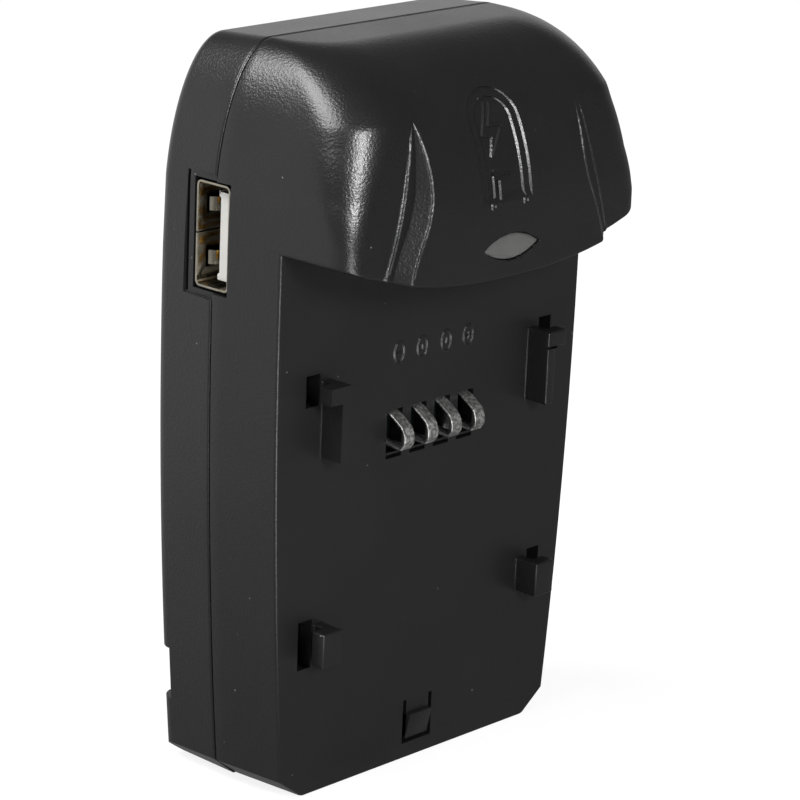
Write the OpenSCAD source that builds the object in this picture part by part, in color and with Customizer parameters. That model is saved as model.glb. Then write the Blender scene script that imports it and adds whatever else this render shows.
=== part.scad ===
// Battery charger for a camera battery, with a folding mains plug and a USB outlet.
// Frame: X runs across, Y runs back, Z is up. The battery face is the plane y = 0.
// The charger stands on its foot at z = 0, and the back is at y = front_d + rear_d.

/* [Housing] */
// Overall height
body_h = 93.6; // [92:0.2:97]
// Width at the widest level, measured on the parting line
body_w = 56; // [54.5:0.5:60]
// Level at which the side walls are widest, as a share of the height
widest = 0.6624; // [0.6:0.01:0.7]
// How much each side wall comes in at the foot
side_bow = 3; // [2:0.25:3.5]
// Depth of the front housing, from the battery face to the parting line
front_d = 10.7; // [10.5:0.1:12]
// Depth of the rear housing, from the parting line to the back
rear_d = 10.7; // [10.5:0.1:12.5]
// Wall of both housings
wall = 2; // [1.6:0.1:2.2]
// Draft of the outside over the depth of one housing
draft = 0.8; // [0.4:0.1:1.2]
// Width of the cut bottom corners
cut_w = 3.6; // [2:0.2:4.4]
// Height of the cut bottom corners
cut_h = 2.9; // [1.6:0.2:3.6]
// Half width of the elliptic top corners
corner_w = 8.2; // [5:0.2:10]
// Height of the elliptic top corners
corner_h = 20; // [14:1:24]
// Rounding of the edges round the back
back_r = 2.5; // [1:0.25:3]
// Width of the flat land under the rear housing that the charger stands on
land_w = 34; // [20:1:38]
// How far that land reaches behind the parting line
land_d = 6; // [4:0.5:7]

/* [Hood] */
// How far the middle of the hood stands out from the battery face
hood_out = 12; // [9:0.25:13]
// Height of the hood in the middle, from its lower lip to the top
hood_h = 27.8; // [26.6:0.2:29]
// How much higher the lip is at the side walls
lip_rise = 4.6; // [2:0.2:5]
// Depth over which the crown rolls from the hood's front to the flat top
crown_d = 15.8; // [13:0.2:16]
// Height of the crown, which rolls back to the top
crown_h = 21.6; // [17.6:0.5:23.6]
// How far the shoulders beside the grooves lie behind the middle
shoulder = 2; // [0.6:0.1:2.4]
// Corner radius of the hood at its lip
corner_low_r = 3; // [2:0.25:5]
// Corner radius of the hood near its top
corner_high_r = 6.9; // [5:0.1:7.5]

/* [Grooves] */
// Half distance between the upper tips of the two grooves
groove_x = 14.4; // [12:0.2:16]
// How far the upper tips lie below the top
groove_drop = 7.7; // [6.6:0.2:11]
// How far each groove widens outward for every millimetre down
groove_flare = 0.24; // [0.12:0.01:0.28]
// How deep the scoop of a groove is
scoop = 0.9; // [0.3:0.1:1.2]

/* [Battery hooks] */
// Distance from the middle to the inner face of a hook
hook_x = 17.9; // [16.5:0.1:18.5]
// Thickness of a hook's rib
rib_t = 1.5; // [1:0.1:2]
// Width of a hook's head, with its toe
head_w = 3.45; // [2.8:0.05:3.8]
// How far the hooks stand out from the battery face
hook_out = 3.5; // [2.5:0.1:4.5]
// Thickness of the toe
toe_t = 2; // [1.2:0.1:2.2]
// Top of the upper hooks
upper_hook_z = 53.6; // [51:0.2:54.5]
// Height of the upper hooks with their ribs
upper_hook_h = 9.6; // [7:0.2:11]
// Height of the upper hooks' heads
upper_head_h = 2.1; // [1.5:0.1:4]
// Top of the lower hooks
lower_hook_z = 22.5; // [21:0.2:23]
// Height of the lower hooks
lower_hook_h = 4.5; // [3:0.1:5]
// Width of the core holes in the plate behind the toes
core_w = 2.3; // [1.8:0.1:2.6]

/* [Battery contacts] */
// Number of battery contacts
contact_n = 4; // [2:1:4]
// Distance from one contact to the next
contact_pitch = 4.29; // [4:0.01:4.8]
// Width of a contact strip
contact_w = 1.8; // [1.2:0.1:2]
// Thickness of a contact strip
contact_t = 0.3; // [0.2:0.05:0.35]
// How far the contacts bulge out of the battery face
contact_out = 2.7; // [2:0.1:3]
// Width of the slots that the contacts come through
slot_w = 2.8; // [2.5:0.1:3.1]
// Top of those slots
slot_top = 47.5; // [47:0.1:48]
// Height of those slots
slot_h = 5.3; // [5.1:0.1:5.6]

/* [Latch tongue] */
// Width of the latch tongue
tongue_w = 4.1; // [3:0.1:5]
// Length of the latch tongue
tongue_l = 5.3; // [4:0.1:6]
// Width of the slits round the tongue
slit = 0.6; // [0.4:0.05:0.8]
// Height of the catch on the tongue
catch_out = 0.7; // [0.4:0.1:1.2]

/* [USB outlet] */
// Outside width of the receptacle's shell
usb_w = 13.1; // [12.9:0.1:13.4]
// Outside height of the receptacle's shell
usb_h = 5.7; // [5.5:0.1:5.9]
// Length of the shell
usb_l = 14; // [12:0.5:16]
// Sheet thickness of the shell
usb_t = 0.3; // [0.2:0.05:0.4]
// How far the shell's lower end lies below the top
usb_drop = 29.8; // [29.2:0.2:31]
// Gap between the shell and the opening round it
usb_gap = 0.3; // [0.2:0.05:0.5]
// Depth of the shallow rebate round the outlet
rebate = 0.6; // [0.3:0.1:0.9]

/* [Indicator] */
// Width of the almond-shaped lens
lens_w = 9.8; // [7:0.2:11]
// Height of the lens
lens_h = 3.1; // [2.4:0.1:3.6]
// Height of the lens's middle above the lip
lens_rise = 3.8; // [3.5:0.1:5]

/* [Folding plug] */
// Width of a mains blade
blade_w = 6.35; // [6.2:0.05:6.5]
// Thickness of a mains blade
blade_t = 1.5; // [1.4:0.05:1.6]
// Distance between the two blades
blade_pitch = 12.7; // [12.5:0.1:12.9]
// Length of a blade from the pivot to its tip
blade_l = 21.5; // [20:0.5:22.5]
// Height of the pivot
pivot_z = 34.5; // [33:0.5:35]
// How far the folded blades lie below the back
blade_sunk = 1; // [0.8:0.1:1.4]
// Radius of the carrier's barrel
barrel_r = 3.9; // [3.7:0.05:4]
// Radius of the carrier's journals
journal_r = 1.5; // [1.2:0.1:1.7]
// Height of the finger notch that runs in from the left edge
notch_h = 6.9; // [5:0.2:7.4]
// Depth of the finger notch
notch_d = 2.4; // [1.4:0.1:2.6]

/* [Inside] */
// Thickness of the circuit board
board_t = 1.6; // [1:0.1:1.7]
// Radius of the screw bosses
boss_r = 2.6; // [2.4:0.1:2.8]
// Radius of the screws' shanks
screw_r = 1.1; // [0.9:0.1:1.2]
// Radius of the screws' heads
screw_head_r = 2; // [1.8:0.1:2.1]
// Size of the transformer's core along the height
core_h = 16; // [14:0.5:17]

/* [Hidden] */
$fn = 48;

run = 0.05;           // running clearance of the journals, and fit of the blades in the carrier
clear = 0.4;          // clearance of what turns past a wall
seat = 0.1;           // gap of a piece that is pushed into a hole
over = 1;             // how far a cut runs past a face
rib_wall = 1.2;       // wall of the pockets inside the rear housing
plate_edge_r = 0.4;   // rounding of the battery plate's edges
crown_steps = 16;     // levels of the crown, from lip to top
body_d = front_d + rear_d;
widest_z = widest * body_h;
lip_z = body_h - hood_h;
crown_z = body_h - crown_h;
groove_top = body_h - groove_drop;
usb_z = body_h - usb_drop;
lens_z = lip_z + lens_rise;
lens_proud = 0.15;      // how far the lens stands out of the hood
origin_y = (body_d - hood_out - lens_proud) / 2;  // from the battery plate to the middle of the depth
board_y = front_d - 2.2;                       // back face of the board, which carries the parts
board_front = board_y - board_t;
inner_back = body_d - wall;
pivot_y = body_d - blade_sunk - blade_w / 2;
pocket_x = blade_pitch / 2 + 4.8;              // half width of the carrier's pocket
pocket_r = barrel_r + clear;
carrier_half = pocket_x - clear;
channel_w = blade_t + 2 * 0.6;
channel_front = pivot_y - blade_w / 2 - clear;
notch_z = pivot_z - blade_l - 4.5;             // lower edge of the finger notch
leaf_h = 2.9;           // half height of the windows that the contact leaves reach through
bar_h = 0.45;                                  // bar under each contact slot
foot_slot_h = 0.5;                             // slit under that bar
usb_y = board_y;
usb_mouth = side_w(usb_z + usb_w / 2) - 0.6;   // the shell's mouth, a little inside the side wall
board_half = body_w / 2 - side_bow - wall - 0.8;
upper_screw = [body_w / 2 - 8, body_h - 9.6];
lower_screw = [body_w / 2 - 6.4, 30];
contact_x = [for (i = [0:3]) (i - 1.5) * contact_pitch];

// Half width of the housings at height z on the parting line, above the cut corners.
function side_w(z) = body_w / 2 - side_bow * pow((z - widest_z) / widest_z, 2)
    - corner_w * (1 - sqrt(1 - pow(max(0, 1 - (body_h - z) / corner_h), 2)));

// What the cut bottom corners take off that half width.
function corner_cut(z) = cut_w * max(0, 1 - z / cut_h);

// Half width of the front housing at height z and depth y.
function front_w(z, y) = side_w(z) - corner_cut(z) - draft * (front_d - y) / front_d;

// Lower lip of the hood: a smile that is lowest in the middle.
function lip_lift(x) = lip_rise * pow(abs(x) / (body_w / 2 - draft), 2.4);

// Depth of the hood's middle at height z: upright below, an elliptic crown above.
function crown_y(z) = -hood_out
    + crown_d * (1 - sqrt(1 - pow(max(0, (z - crown_z) / (body_h - crown_z)), 2)));

// How far the shoulders lie behind the middle, which ends at the tips of the grooves.
function shoulder_y(z) = z >= groove_top ? 0
    : shoulder * (1 - pow(max(0, (z - crown_z - 2) / (groove_top - crown_z - 2)), 2));

// Corner radius of the hood, tight at the lip and full near the top.
function hood_r(z) = corner_low_r
    + (corner_high_r - corner_low_r) * min(1, max(0, (z - lip_z - 4) / 14));

// Inner and outer edges of the almond-shaped grooves.
function groove_in(z) = groove_x - 0.4 + 0.017 * pow(max(0, groove_top - 4.9 - z), 2);
function groove_out(z) = groove_x + 0.3 + groove_flare * max(0, groove_top - z);
function groove_depth(z) = scoop * min(1, max(0, groove_top - z) / 5);

// Right half of one level, from the middle to the parting line, as [x, y].
// A cavity's level is the same one moved in by t, and it runs out past the parting line.
function half_level(z, hood, t = 0) =
    let (
        mid = (hood ? crown_y(z) : 0) + t,
        side = mid + (hood ? shoulder_y(z) : 0),
        full_r = hood ? min(hood_r(z), front_d - side + t - 0.15) : plate_edge_r,
        r = max(full_r - t, min(full_r, 0.3)),
        w = front_w(z, side + r) - t,
        end = w - r,
        gi = min(groove_in(max(z, lip_z)), 0.82 * end),
        go = min(groove_out(max(z, lip_z)), 0.9 * end),
        deep = hood ? groove_depth(z) : 0
    )
    concat(
        [for (f = [0, 0.35, 0.7, 0.93, 1]) [f * gi, mid]],
        [for (f = [0.2, 0.5, 0.8, 1])
            [gi + f * (go - gi), mid + f * (side - mid) + 4 * deep * f * (1 - f)]],
        [for (f = [0.35, 0.75]) [go + f * (end - go), side]],
        [for (a = [0:15:90]) [end + r * sin(a), side + r * (1 - cos(a))]],
        [[front_w(z, front_d) - t, front_d + (t > 0 ? over : 0)]]
    );

// Levels of the front housing: [height, hood or plate].
plate_levels = [for (z = [0, cut_h, 0.18 * lip_z, 0.36 * lip_z, 0.55 * lip_z, 0.73 * lip_z, 0.91 * lip_z, lip_z])
    [z, false]];
hood_levels = [for (i = [0:crown_steps])
    [lip_z + (body_h - lip_z) * sin(90 * i / crown_steps), true]];
levels = concat(plate_levels, hood_levels);
half_n = len(half_level(0, false));

// Height of a point of the shell: levels follow the lip's smile near the lip, and lie flat above.
function lifted(z, x) = z < lip_z ? z
    : z + lip_lift(x) * max(0, 1 - (z - lip_z) / (corner_h - 8));

// A level of the front shell in three dimensions, for the outside or for the cavity at wall t.
// Beside the ledge under the hood, the parting line's points keep clear of the corners' level.
function half_ring(level, t) =
    let (
        z = level[0],
        points = half_level(z, level[1], t),
        rise = z < lip_z ? (z <= cut_h ? t : 0) : t * (1 - 2 * (z - lip_z) / (body_h - lip_z)),
        spread = z == lip_z ? (level[1] ? 0.8 : -2) : 0
    )
    [for (i = [0:half_n - 1])
        [points[i][0], points[i][1], lifted(z, points[i][0]) + rise + (i == half_n - 1 ? spread : 0)]];

// One closed ring of a level: left half mirrored, then right half.
function ring(level, t) =
    let (right = half_ring(level, t))
    concat([for (i = [half_n - 1:-1:1]) [-right[i][0], right[i][1], right[i][2]]], right);

// Faces of a stack of k rings with n points each, closed at both ends.
// The first m columns are split along the other diagonal, so that both halves mirror each other.
function stack_faces(n, k, m = 0) = concat(
    [[for (i = [0:n - 1]) i]],
    [for (j = [0:k - 2], i = [0:n - 1])
        let (a = j * n + i, b = j * n + (i + 1) % n)
        i < m ? [a, a + n, b] : [a, a + n, b + n]],
    [for (j = [0:k - 2], i = [0:n - 1])
        let (a = j * n + i, b = j * n + (i + 1) % n)
        i < m ? [b, a + n, b + n] : [a, b + n, b]],
    [[for (i = [n - 1:-1:0]) (k - 1) * n + i]]
);

// Solid of the front housing's outside, or of its cavity at wall t.
module front_form(t = 0) {
    polyhedron(
        points = [for (level = levels) each ring(level, t)],
        faces = stack_faces(2 * half_n - 1, len(levels), half_n - 1)
    );
}

// Outline of the parting line, moved in by t, as [x, z].
outline_z = concat([for (z = [0, 14, 28, 42, 56, 68]) z],
    [for (a = [15:10:85]) body_h - corner_h * (1 - sin(a))], [body_h]);
function outline(t) =
    let (
        half = [for (z = outline_z) [side_w(z), z]],
        mid = body_h / 2,
        n = len(half),
        fit = function (p) [p[0] * (1 - t / (body_w / 2)), mid + (p[1] - mid) * (1 - t / mid)]
    )
    concat([for (i = [0:n - 1]) fit([-half[i][0], half[i][1]])],
        [for (i = [n - 1:-1:0]) fit(half[i])]);

// Solid of the rear housing's outside, or of its cavity at wall t.
// The draft brings the outline in, and the last steps round the back edges.
module rear_form(t = 0) {
    r = max(0.6, back_r - t);
    back = body_d - t;
    flat = back - r;
    steps = concat([[front_d - (t > 0 ? over : 0), t]],
        [for (a = [0:18:90])
            [flat + r * sin(a), t + draft * (flat - front_d) / rear_d + r * (1 - cos(a))]]);
    n = len(outline(0));
    polyhedron(
        points = [for (s = steps) each [for (p = outline(s[1])) [p[0], s[0], p[1]]]],
        faces = stack_faces(n, len(steps))
    );
}

// A box from corner a to corner b.
module block(a, b) translate(a) cube([for (i = [0:2]) b[i] - a[i]]);

// A cylinder along Y from y0 to y1.
module bar_y(x, z, r, y0, y1) translate([x, y0, z]) rotate([-90, 0, 0]) cylinder(r = r, h = y1 - y0);

// A cylinder along X from x0 to x1.
module bar_x(y, z, r, x0, x1) translate([x0, y, z]) rotate([0, 90, 0]) cylinder(r = r, h = x1 - x0);

// A profile drawn in [y, z], swept along X about the middle x.
module strip(x, w, points) {
    translate([x - w / 2, 0, 0]) rotate([90, 0, 90]) linear_extrude(height = w) polygon(points);
}

// Both sides of the charger.
module both_sides() {
    children();
    mirror([1, 0, 0]) children();
}

// Wedge-shaped corner that the cut bottom corner takes off the rear housing.
module rear_corner_cut() {
    w = side_w(cut_h);
    translate([0, body_d + over, 0]) rotate([90, 0, 0]) linear_extrude(height = rear_d + 2 * over)
        polygon([[w - cut_w - over, -over], [w - cut_w, 0], [w, cut_h], [w + 2, cut_h + 1.6], [w + 2, -over]]);
}

// Opening and shallow rebate round the USB outlet, in the left side wall.
module usb_opening() {
    block([-body_w / 2 - over, usb_y - usb_gap, usb_z - usb_gap],
        [-usb_mouth + usb_l / 2, usb_y + usb_h + usb_gap, usb_z + usb_w + usb_gap]);
    block([-body_w / 2 - over, front_d, usb_z - 1.1],
        [-side_w(usb_z) + rebate, usb_y + usb_h + 1.7, usb_z + usb_w + 1.1]);
}

// Almond shape of the lens: two arcs that meet in points at its ends.
module almond(w, h) {
    r = (w * w + h * h) / (4 * h);
    half = asin(w / 2 / r);
    arc = [for (k = [0:9]) r * [sin(half * (k / 5 - 1)), cos(half * (k / 5 - 1))] - [0, r - h / 2]];
    polygon(concat(arc, -arc));
}

module almond_bar(w, h, y0, y1) {
    translate([0, y1, lens_z]) rotate([90, 0, 0]) linear_extrude(height = y1 - y0) almond(w, h);
}

// One hook: a rib with a head whose toe points outward.
module hook(top, height, head_h) {
    root = wall / 2;
    block([hook_x, -hook_out, top - height], [hook_x + rib_t, root, top]);
    block([hook_x, -hook_out, top - head_h], [hook_x + head_w, -hook_out + toe_t, top]);
}

// Core hole in the plate behind a toe.
module hook_hole(top, height) {
    x = hook_x + head_w + 0.8;
    block([x - core_w, -over, top - height], [x, wall + over, top]);
}

module screw_holes(r, y0, y1) {
    both_sides() {
        bar_y(upper_screw[0], upper_screw[1], r, y0, y1);
        bar_y(lower_screw[0], lower_screw[1], r, y0, y1);
    }
}

module screw_posts(y0, y1) screw_holes(boss_r, y0, y1);

// Slits that free the latch tongue, and the wedge that makes its catch.
tongue_bottom = cut_h - 0.2;
tongue_top = tongue_bottom + tongue_l;
module tongue_slits() {
    both_sides() block([tongue_w / 2, -over, tongue_bottom - slit], [tongue_w / 2 + slit, wall + over, tongue_top]);
    block([-tongue_w / 2 - slit, -over, tongue_bottom - slit], [tongue_w / 2 + slit, wall + over, tongue_bottom]);
}
module tongue_catch() {
    ledge = tongue_top - tongue_l * 0.35;
    strip(0, tongue_w, [[wall / 2, ledge], [-catch_out, ledge], [-catch_out, ledge - 0.3],
        [0, tongue_bottom + 0.2], [wall / 2, tongue_bottom]]);
}

module front_housing() {
    color("#1d1d1f") difference() {
        union() {
            difference() {
                front_form();
                difference() {
                    front_form(wall);
                    screw_posts(-hood_out - over, front_d + 2 * over);
                }
            }
            both_sides() {
                hook(upper_hook_z, upper_hook_h, upper_head_h);
                hook(lower_hook_z, lower_hook_h, lower_hook_h);
            }
            tongue_catch();
        }
        both_sides() {
            hook_hole(upper_hook_z + 1, 4);
            hook_hole(lower_hook_z + 0.8, lower_hook_h + 1.8);
        }
        for (i = [0:contact_n - 1]) {
            block([contact_x[i] - slot_w / 2, -over, slot_top - slot_h],
                [contact_x[i] + slot_w / 2, wall + over, slot_top]);
            block([contact_x[i] - slot_w / 2, 0.8, slot_top - 1],
                [contact_x[i] + slot_w / 2, wall + over, slot_top + 1]);
            block([contact_x[i] - slot_w / 2, -over, slot_top - slot_h - bar_h - foot_slot_h],
                [contact_x[i] + slot_w / 2, wall + over, slot_top - slot_h - bar_h]);
        }
        tongue_slits();
        screw_holes(screw_r - 0.15, front_d - 7, front_d + over);
        usb_opening();
        almond_bar(lens_w + 2 * seat, lens_h + 2 * seat, -hood_out - over, -hood_out + 2 * wall);
    }
}

// Ribs inside the rear housing: the carrier's pocket and the two channels for the blades.
module plug_ribs(t) {
    block([-pocket_x - t, pivot_y - pocket_r - t, pivot_z - pocket_r - t],
        [pocket_x + t, body_d, pivot_z + pocket_r + t]);
    for (s = [-1, 1]) translate([s * blade_pitch / 2, 0, 0])
        block([-channel_w / 2 - t, channel_front - t, notch_z + 1 - t],
            [channel_w / 2 + t, body_d, pivot_z]);
}

module plug_cuts() {
    block([-pocket_x, pivot_y - pocket_r, pivot_z - pocket_r], [pocket_x, body_d + over, pivot_z + pocket_r]);
    for (s = [-1, 1]) translate([s * blade_pitch / 2, 0, 0]) {
        block([-channel_w / 2, channel_front, notch_z + 1], [channel_w / 2, body_d + over, pivot_z]);
        block([-1.9, pivot_y - pocket_r - rib_wall - over, pivot_z - leaf_h], [1.9, pivot_y, pivot_z + leaf_h]);
    }
    block([-2.4, pivot_y - pocket_r - rib_wall - over, pivot_z - leaf_h], [2.4, pivot_y, pivot_z + leaf_h]);
    bar_x(pivot_y, pivot_z, journal_r + run, -pocket_x - rib_wall - over, pocket_x + rib_wall + over);
}

// Finger notch: from the left edge across both blade tips.
module finger_notch() {
    block([-body_w / 2 - over, body_d - notch_d, notch_z], [blade_pitch / 2 + 3, body_d + over, notch_z + notch_h]);
}

module rear_housing() {
    color("#202022") difference() {
        union() {
            difference() {
                rear_form();
                difference() {
                    rear_form(wall);
                    block([-body_w / 2, inner_back - notch_d, notch_z - wall],
                        [blade_pitch / 2 + 3 + wall, body_d, notch_z + notch_h + wall]);
                    plug_ribs(rib_wall);
                    screw_posts(front_d, body_d);
                }
            }
            block([-land_w / 2, front_d, 0], [land_w / 2, front_d + land_d, wall]);
        }
        both_sides() rear_corner_cut();
        plug_cuts();
        finger_notch();
        screw_holes(screw_r + seat, front_d - over, body_d + over);
        screw_holes(screw_head_r + 2 * seat, body_d - 4, body_d + over);
        usb_opening();
    }
}

module led_lens() {
    pipe_end = board_front - 2.6;
    color("#b9bab6") {
        almond_bar(lens_w, lens_h, -hood_out - lens_proud, -hood_out + wall + 0.6);
        block([-2.4, -hood_out + wall, lens_z - 1], [2.4, pipe_end, lens_z + 1]);
    }
}

module status_led() {
    color("#e8e4d0") {
        block([-1.6, board_front - 0.8, lens_z - 1.4], [1.6, board_front, lens_z + 1.4]);
        block([-1.2, board_front - 2.3, lens_z - 1], [1.2, board_front - 0.8, lens_z + 1]);
    }
}

module main_board() {
    top = body_h - wall - 5;
    color("#2e6b3c") difference() {
        block([-board_half, board_front, 7], [board_half, board_y, top]);
        both_sides() {
            bar_y(upper_screw[0], upper_screw[1], boss_r + 0.5, 0, front_d);
            bar_y(lower_screw[0], lower_screw[1], boss_r + 0.5, 0, front_d);
            block([board_half - 5.7, 0, top - 3], [body_w / 2, front_d, body_h]);
        }
    }
}

module usb_shell() {
    x0 = -usb_mouth;
    color("#c9c8c4") difference() {
        block([x0, usb_y, usb_z], [x0 + usb_l, usb_y + usb_h, usb_z + usb_w]);
        block([x0 - over, usb_y + usb_t, usb_z + usb_t],
            [x0 + usb_l - usb_t, usb_y + usb_h - usb_t, usb_z + usb_w - usb_t]);
        for (s = [-1, 1]) block([x0 + 2.6, usb_y + usb_h - 2 * usb_t, usb_z + usb_w / 2 + s * 3.3 - 1.1],
            [x0 + 7.4, usb_y + usb_h + over, usb_z + usb_w / 2 + s * 3.3 + 1.1]);
    }
}

usb_blade_y = usb_y + usb_t + 0.5;       // side of the insulator that has no pins
usb_blade_t = 1.85;
module usb_insulator() {
    x0 = -usb_mouth;
    z0 = usb_z + usb_w / 2;
    color("#e9e9e6") difference() {
        union() {
            block([x0 + 1, usb_blade_y, z0 - 5.5], [x0 + usb_l - 3, usb_blade_y + usb_blade_t, z0 + 5.5]);
            block([x0 + usb_l - 4, usb_y + usb_t, usb_z + usb_t],
                [x0 + usb_l - usb_t, usb_y + usb_h - usb_t, usb_z + usb_w - usb_t]);
        }
        for (z = [-3.5, -1, 1, 3.5])
            block([x0 + 1.6, usb_blade_y + usb_blade_t - 0.4, z0 + z - 0.55], [x0 + usb_l + over, usb_blade_y + usb_blade_t, z0 + z + 0.55]);
    }
}

module usb_pins() {
    x0 = -usb_mouth;
    z0 = usb_z + usb_w / 2;
    color("#c9a24a") for (z = [-3.5, -1, 1, 3.5])
        block([x0 + 1.8, usb_blade_y + usb_blade_t - 0.4, z0 + z - 0.5],
            [x0 + usb_l - usb_t, usb_blade_y + usb_blade_t - 0.1, z0 + z + 0.5]);
}

// Pivot of the sprung battery contacts, behind the plate and above the slots.
contact_axis = [wall + 0.45 * (board_front - wall), slot_top + 9];
curl_r = 0.7;
block_z = [contact_axis[1] - 2.2, contact_axis[1] + 3];

module contact_block() {
    half = 1.5 * contact_pitch + 2.6;
    color("#d8d3c4") difference() {
        block([-half, wall + seat, block_z[0]], [half, board_front, block_z[1]]);
        for (x = contact_x) {
            block([x - contact_w / 2 - 0.3, 0, block_z[0] - over],
                [x + contact_w / 2 + 0.3, board_front - 0.8, contact_axis[1] + 1.2]);
        }
        bar_x(contact_axis[0], contact_axis[1], 0.5 + run, -half - over, half + over);
    }
    // one pin through the block carries all curls
    color("#d8d3c4") bar_x(contact_axis[0], contact_axis[1], 0.5 - run, -half, half);
}

// Middle line of one contact strip as [y, z], from its curl to its tail.
function contact_line() =
    let (
        y0 = contact_axis[0] - curl_r + contact_t / 2,
        nose_y = -contact_out + contact_t / 2,
        nose_z = slot_top - 3.3
    )
    [
        [y0, contact_axis[1]], [wall + 0.7, slot_top + 3.4], [wall + 0.5, slot_top + 1.4],
        [wall + 0.1, slot_top + 0.35], [0.6, slot_top - 0.35], [-0.1, slot_top - 0.65],
        [nose_y + 0.65, nose_z + 1.5], [nose_y + 0.15, nose_z + 0.7], [nose_y, nose_z],
        [nose_y + 0.1, nose_z - 0.6], [nose_y + 0.5, nose_z - 1.1], [nose_y + 1.1, nose_z - 1.3],
        [wall + 0.9, nose_z - 0.95]
    ];

// The line moved sideways by d.
function beside(line, d) = [for (i = [0:len(line) - 1])
    let (
        a = line[max(0, i - 1)],
        b = line[min(len(line) - 1, i + 1)],
        v = (b - a) / norm(b - a)
    )
    line[i] + d * [-v[1], v[0]]];

module battery_contact(i) {
    line = contact_line();
    side = beside(line, contact_t / 2);
    other = beside(line, -contact_t / 2);
    color("#6f6d68") if (i < contact_n) difference() {
        union() {
            strip(contact_x[i], contact_w, concat(side, [for (k = [len(other) - 1:-1:0]) other[k]]));
            bar_x(contact_axis[0], contact_axis[1], curl_r, contact_x[i] - contact_w / 2, contact_x[i] + contact_w / 2);
        }
        bar_x(contact_axis[0], contact_axis[1], 0.5, contact_x[i] - contact_w, contact_x[i] + contact_w);
    }
}
module battery_contact_1() battery_contact(0);
module battery_contact_2() battery_contact(1);
module battery_contact_3() battery_contact(2);
module battery_contact_4() battery_contact(3);

// Transformer behind the board, above the plug's pocket.
coil_z = pivot_z + pocket_r + rib_wall + 2 + core_h / 2;
core_d = inner_back - board_y - 0.5;
core_x = 7;
coil_side = 1.6;        // how far the coil stands out past the core, in front and behind
window_h = 3.8;         // height of the core's windows
module transformer_core() {
    color("#3a3a3d") difference() {
        block([-core_x, board_y + coil_side, coil_z - core_h / 2],
            [core_x, board_y + core_d - coil_side, coil_z + core_h / 2]);
        for (s = [-1, 1]) translate([0, 0, coil_z + s * core_h / 4])
            block([-core_x + 2.4, board_y, -window_h / 2], [core_x - 2.4, body_d, window_h / 2]);
    }
}

// The coil on its bobbin: round the core's middle leg, and standing on the board.
module transformer_winding() {
    leg = core_h / 4 - window_h / 2;
    out = core_h / 4 + window_h / 2 - 0.1;
    color("#c88a3a") difference() {
        block([-core_x + 2.5, board_y, coil_z - out], [core_x - 2.5, board_y + core_d, coil_z + out]);
        block([-core_x, board_y + coil_side, coil_z - leg],
            [core_x, board_y + core_d - coil_side, coil_z + leg]);
    }
}

// A round capacitor lying on the board along X, with its crimp ring.
module lying_capacitor(x0, length, r, z, tone) {
    color(tone) difference() {
        bar_x(board_y + r, z, r, x0, x0 + length);
        translate([x0 + 1.6, board_y + r, z]) rotate([0, 90, 0])
            rotate_extrude() translate([r + 0.25, 0]) circle(r = 0.5);
    }
}
module line_capacitor() lying_capacitor(core_x + 1.2, board_half - core_x - 2.2, 4, coil_z - 1, "#2b3a66");
module output_capacitor()
    lying_capacitor(1.7 - board_half, board_half - core_x - 4.2, 3.1, coil_z + 1, "#2d2d34");

module bridge_rectifier() {
    color("#26262a") block([core_x + 3, board_y, coil_z + 6], [core_x + 9.5, board_y + 2.4, coil_z + 11]);
}

module control_chip() {
    chip = [9.8, 3.4, 6.4];
    at = [2, board_y, coil_z + core_h / 2 + 4.5];
    color("#242428") block(at, at + chip);
}

module choke() {
    x = -6;
    z = body_h - wall - 14;
    color("#4a3f36") difference() {
        bar_y(x, z, 4.2, board_y, board_y + 7);
        translate([x, board_y + 3.5, z]) rotate([90, 0, 0]) rotate_extrude() translate([5.2, 0]) circle(r = 2);
    }
}

module fuse() {
    x = 1.7 - board_half;
    z = pivot_z - pocket_r - 10;
    fuse_l = 9.5;
    cap_l = 1.9;
    color("#cfc6a8") union() {
        bar_x(board_y + cap_l, z, 1.6, x + cap_l / 2, x + fuse_l - cap_l / 2);
        bar_x(board_y + cap_l, z, 1.9, x, x + cap_l);
        bar_x(board_y + cap_l, z, 1.9, x + fuse_l - cap_l, x + fuse_l);
    }
}

// The turning carrier of the plug: a barrel with journals, slotted for the blades.
module plug_carrier() {
    color("#1b1b1d") difference() {
        union() {
            bar_x(pivot_y, pivot_z, barrel_r, -carrier_half, carrier_half);
            bar_x(pivot_y, pivot_z, journal_r, -pocket_x - rib_wall, pocket_x + rib_wall);
        }
        for (s = [-1, 1]) translate([s * blade_pitch / 2, 0, 0])
            block([-blade_t / 2 - run, pivot_y - blade_w / 2 - run, pivot_z - barrel_r - over],
                [blade_t / 2 + run, pivot_y + blade_w / 2 + run, pivot_z + 1.5 + run]);
        block([-blade_pitch / 2 + 2.2, pivot_y + barrel_r - 1.1, pivot_z - barrel_r],
            [blade_pitch / 2 - 2.2, body_d, pivot_z + barrel_r]);
    }
}

// One mains blade, folded down, with its eased tip and its hole.
module blade(x) {
    tip = pivot_z - blade_l;
    half = blade_w / 2;
    color("#c8c4b4") difference() {
        strip(x, blade_t, [
            [pivot_y - half, pivot_z + 1.5], [pivot_y - half, tip + 1.2], [pivot_y - half + 1.2, tip],
            [pivot_y + half - 1.2, tip], [pivot_y + half, tip + 1.2], [pivot_y + half, pivot_z + 1.5]
        ]);
        bar_x(pivot_y, tip + 4, 1.55, x - blade_t, x + blade_t);
    }
}
module blade_left() blade(-blade_pitch / 2);
module blade_right() blade(blade_pitch / 2);

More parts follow.
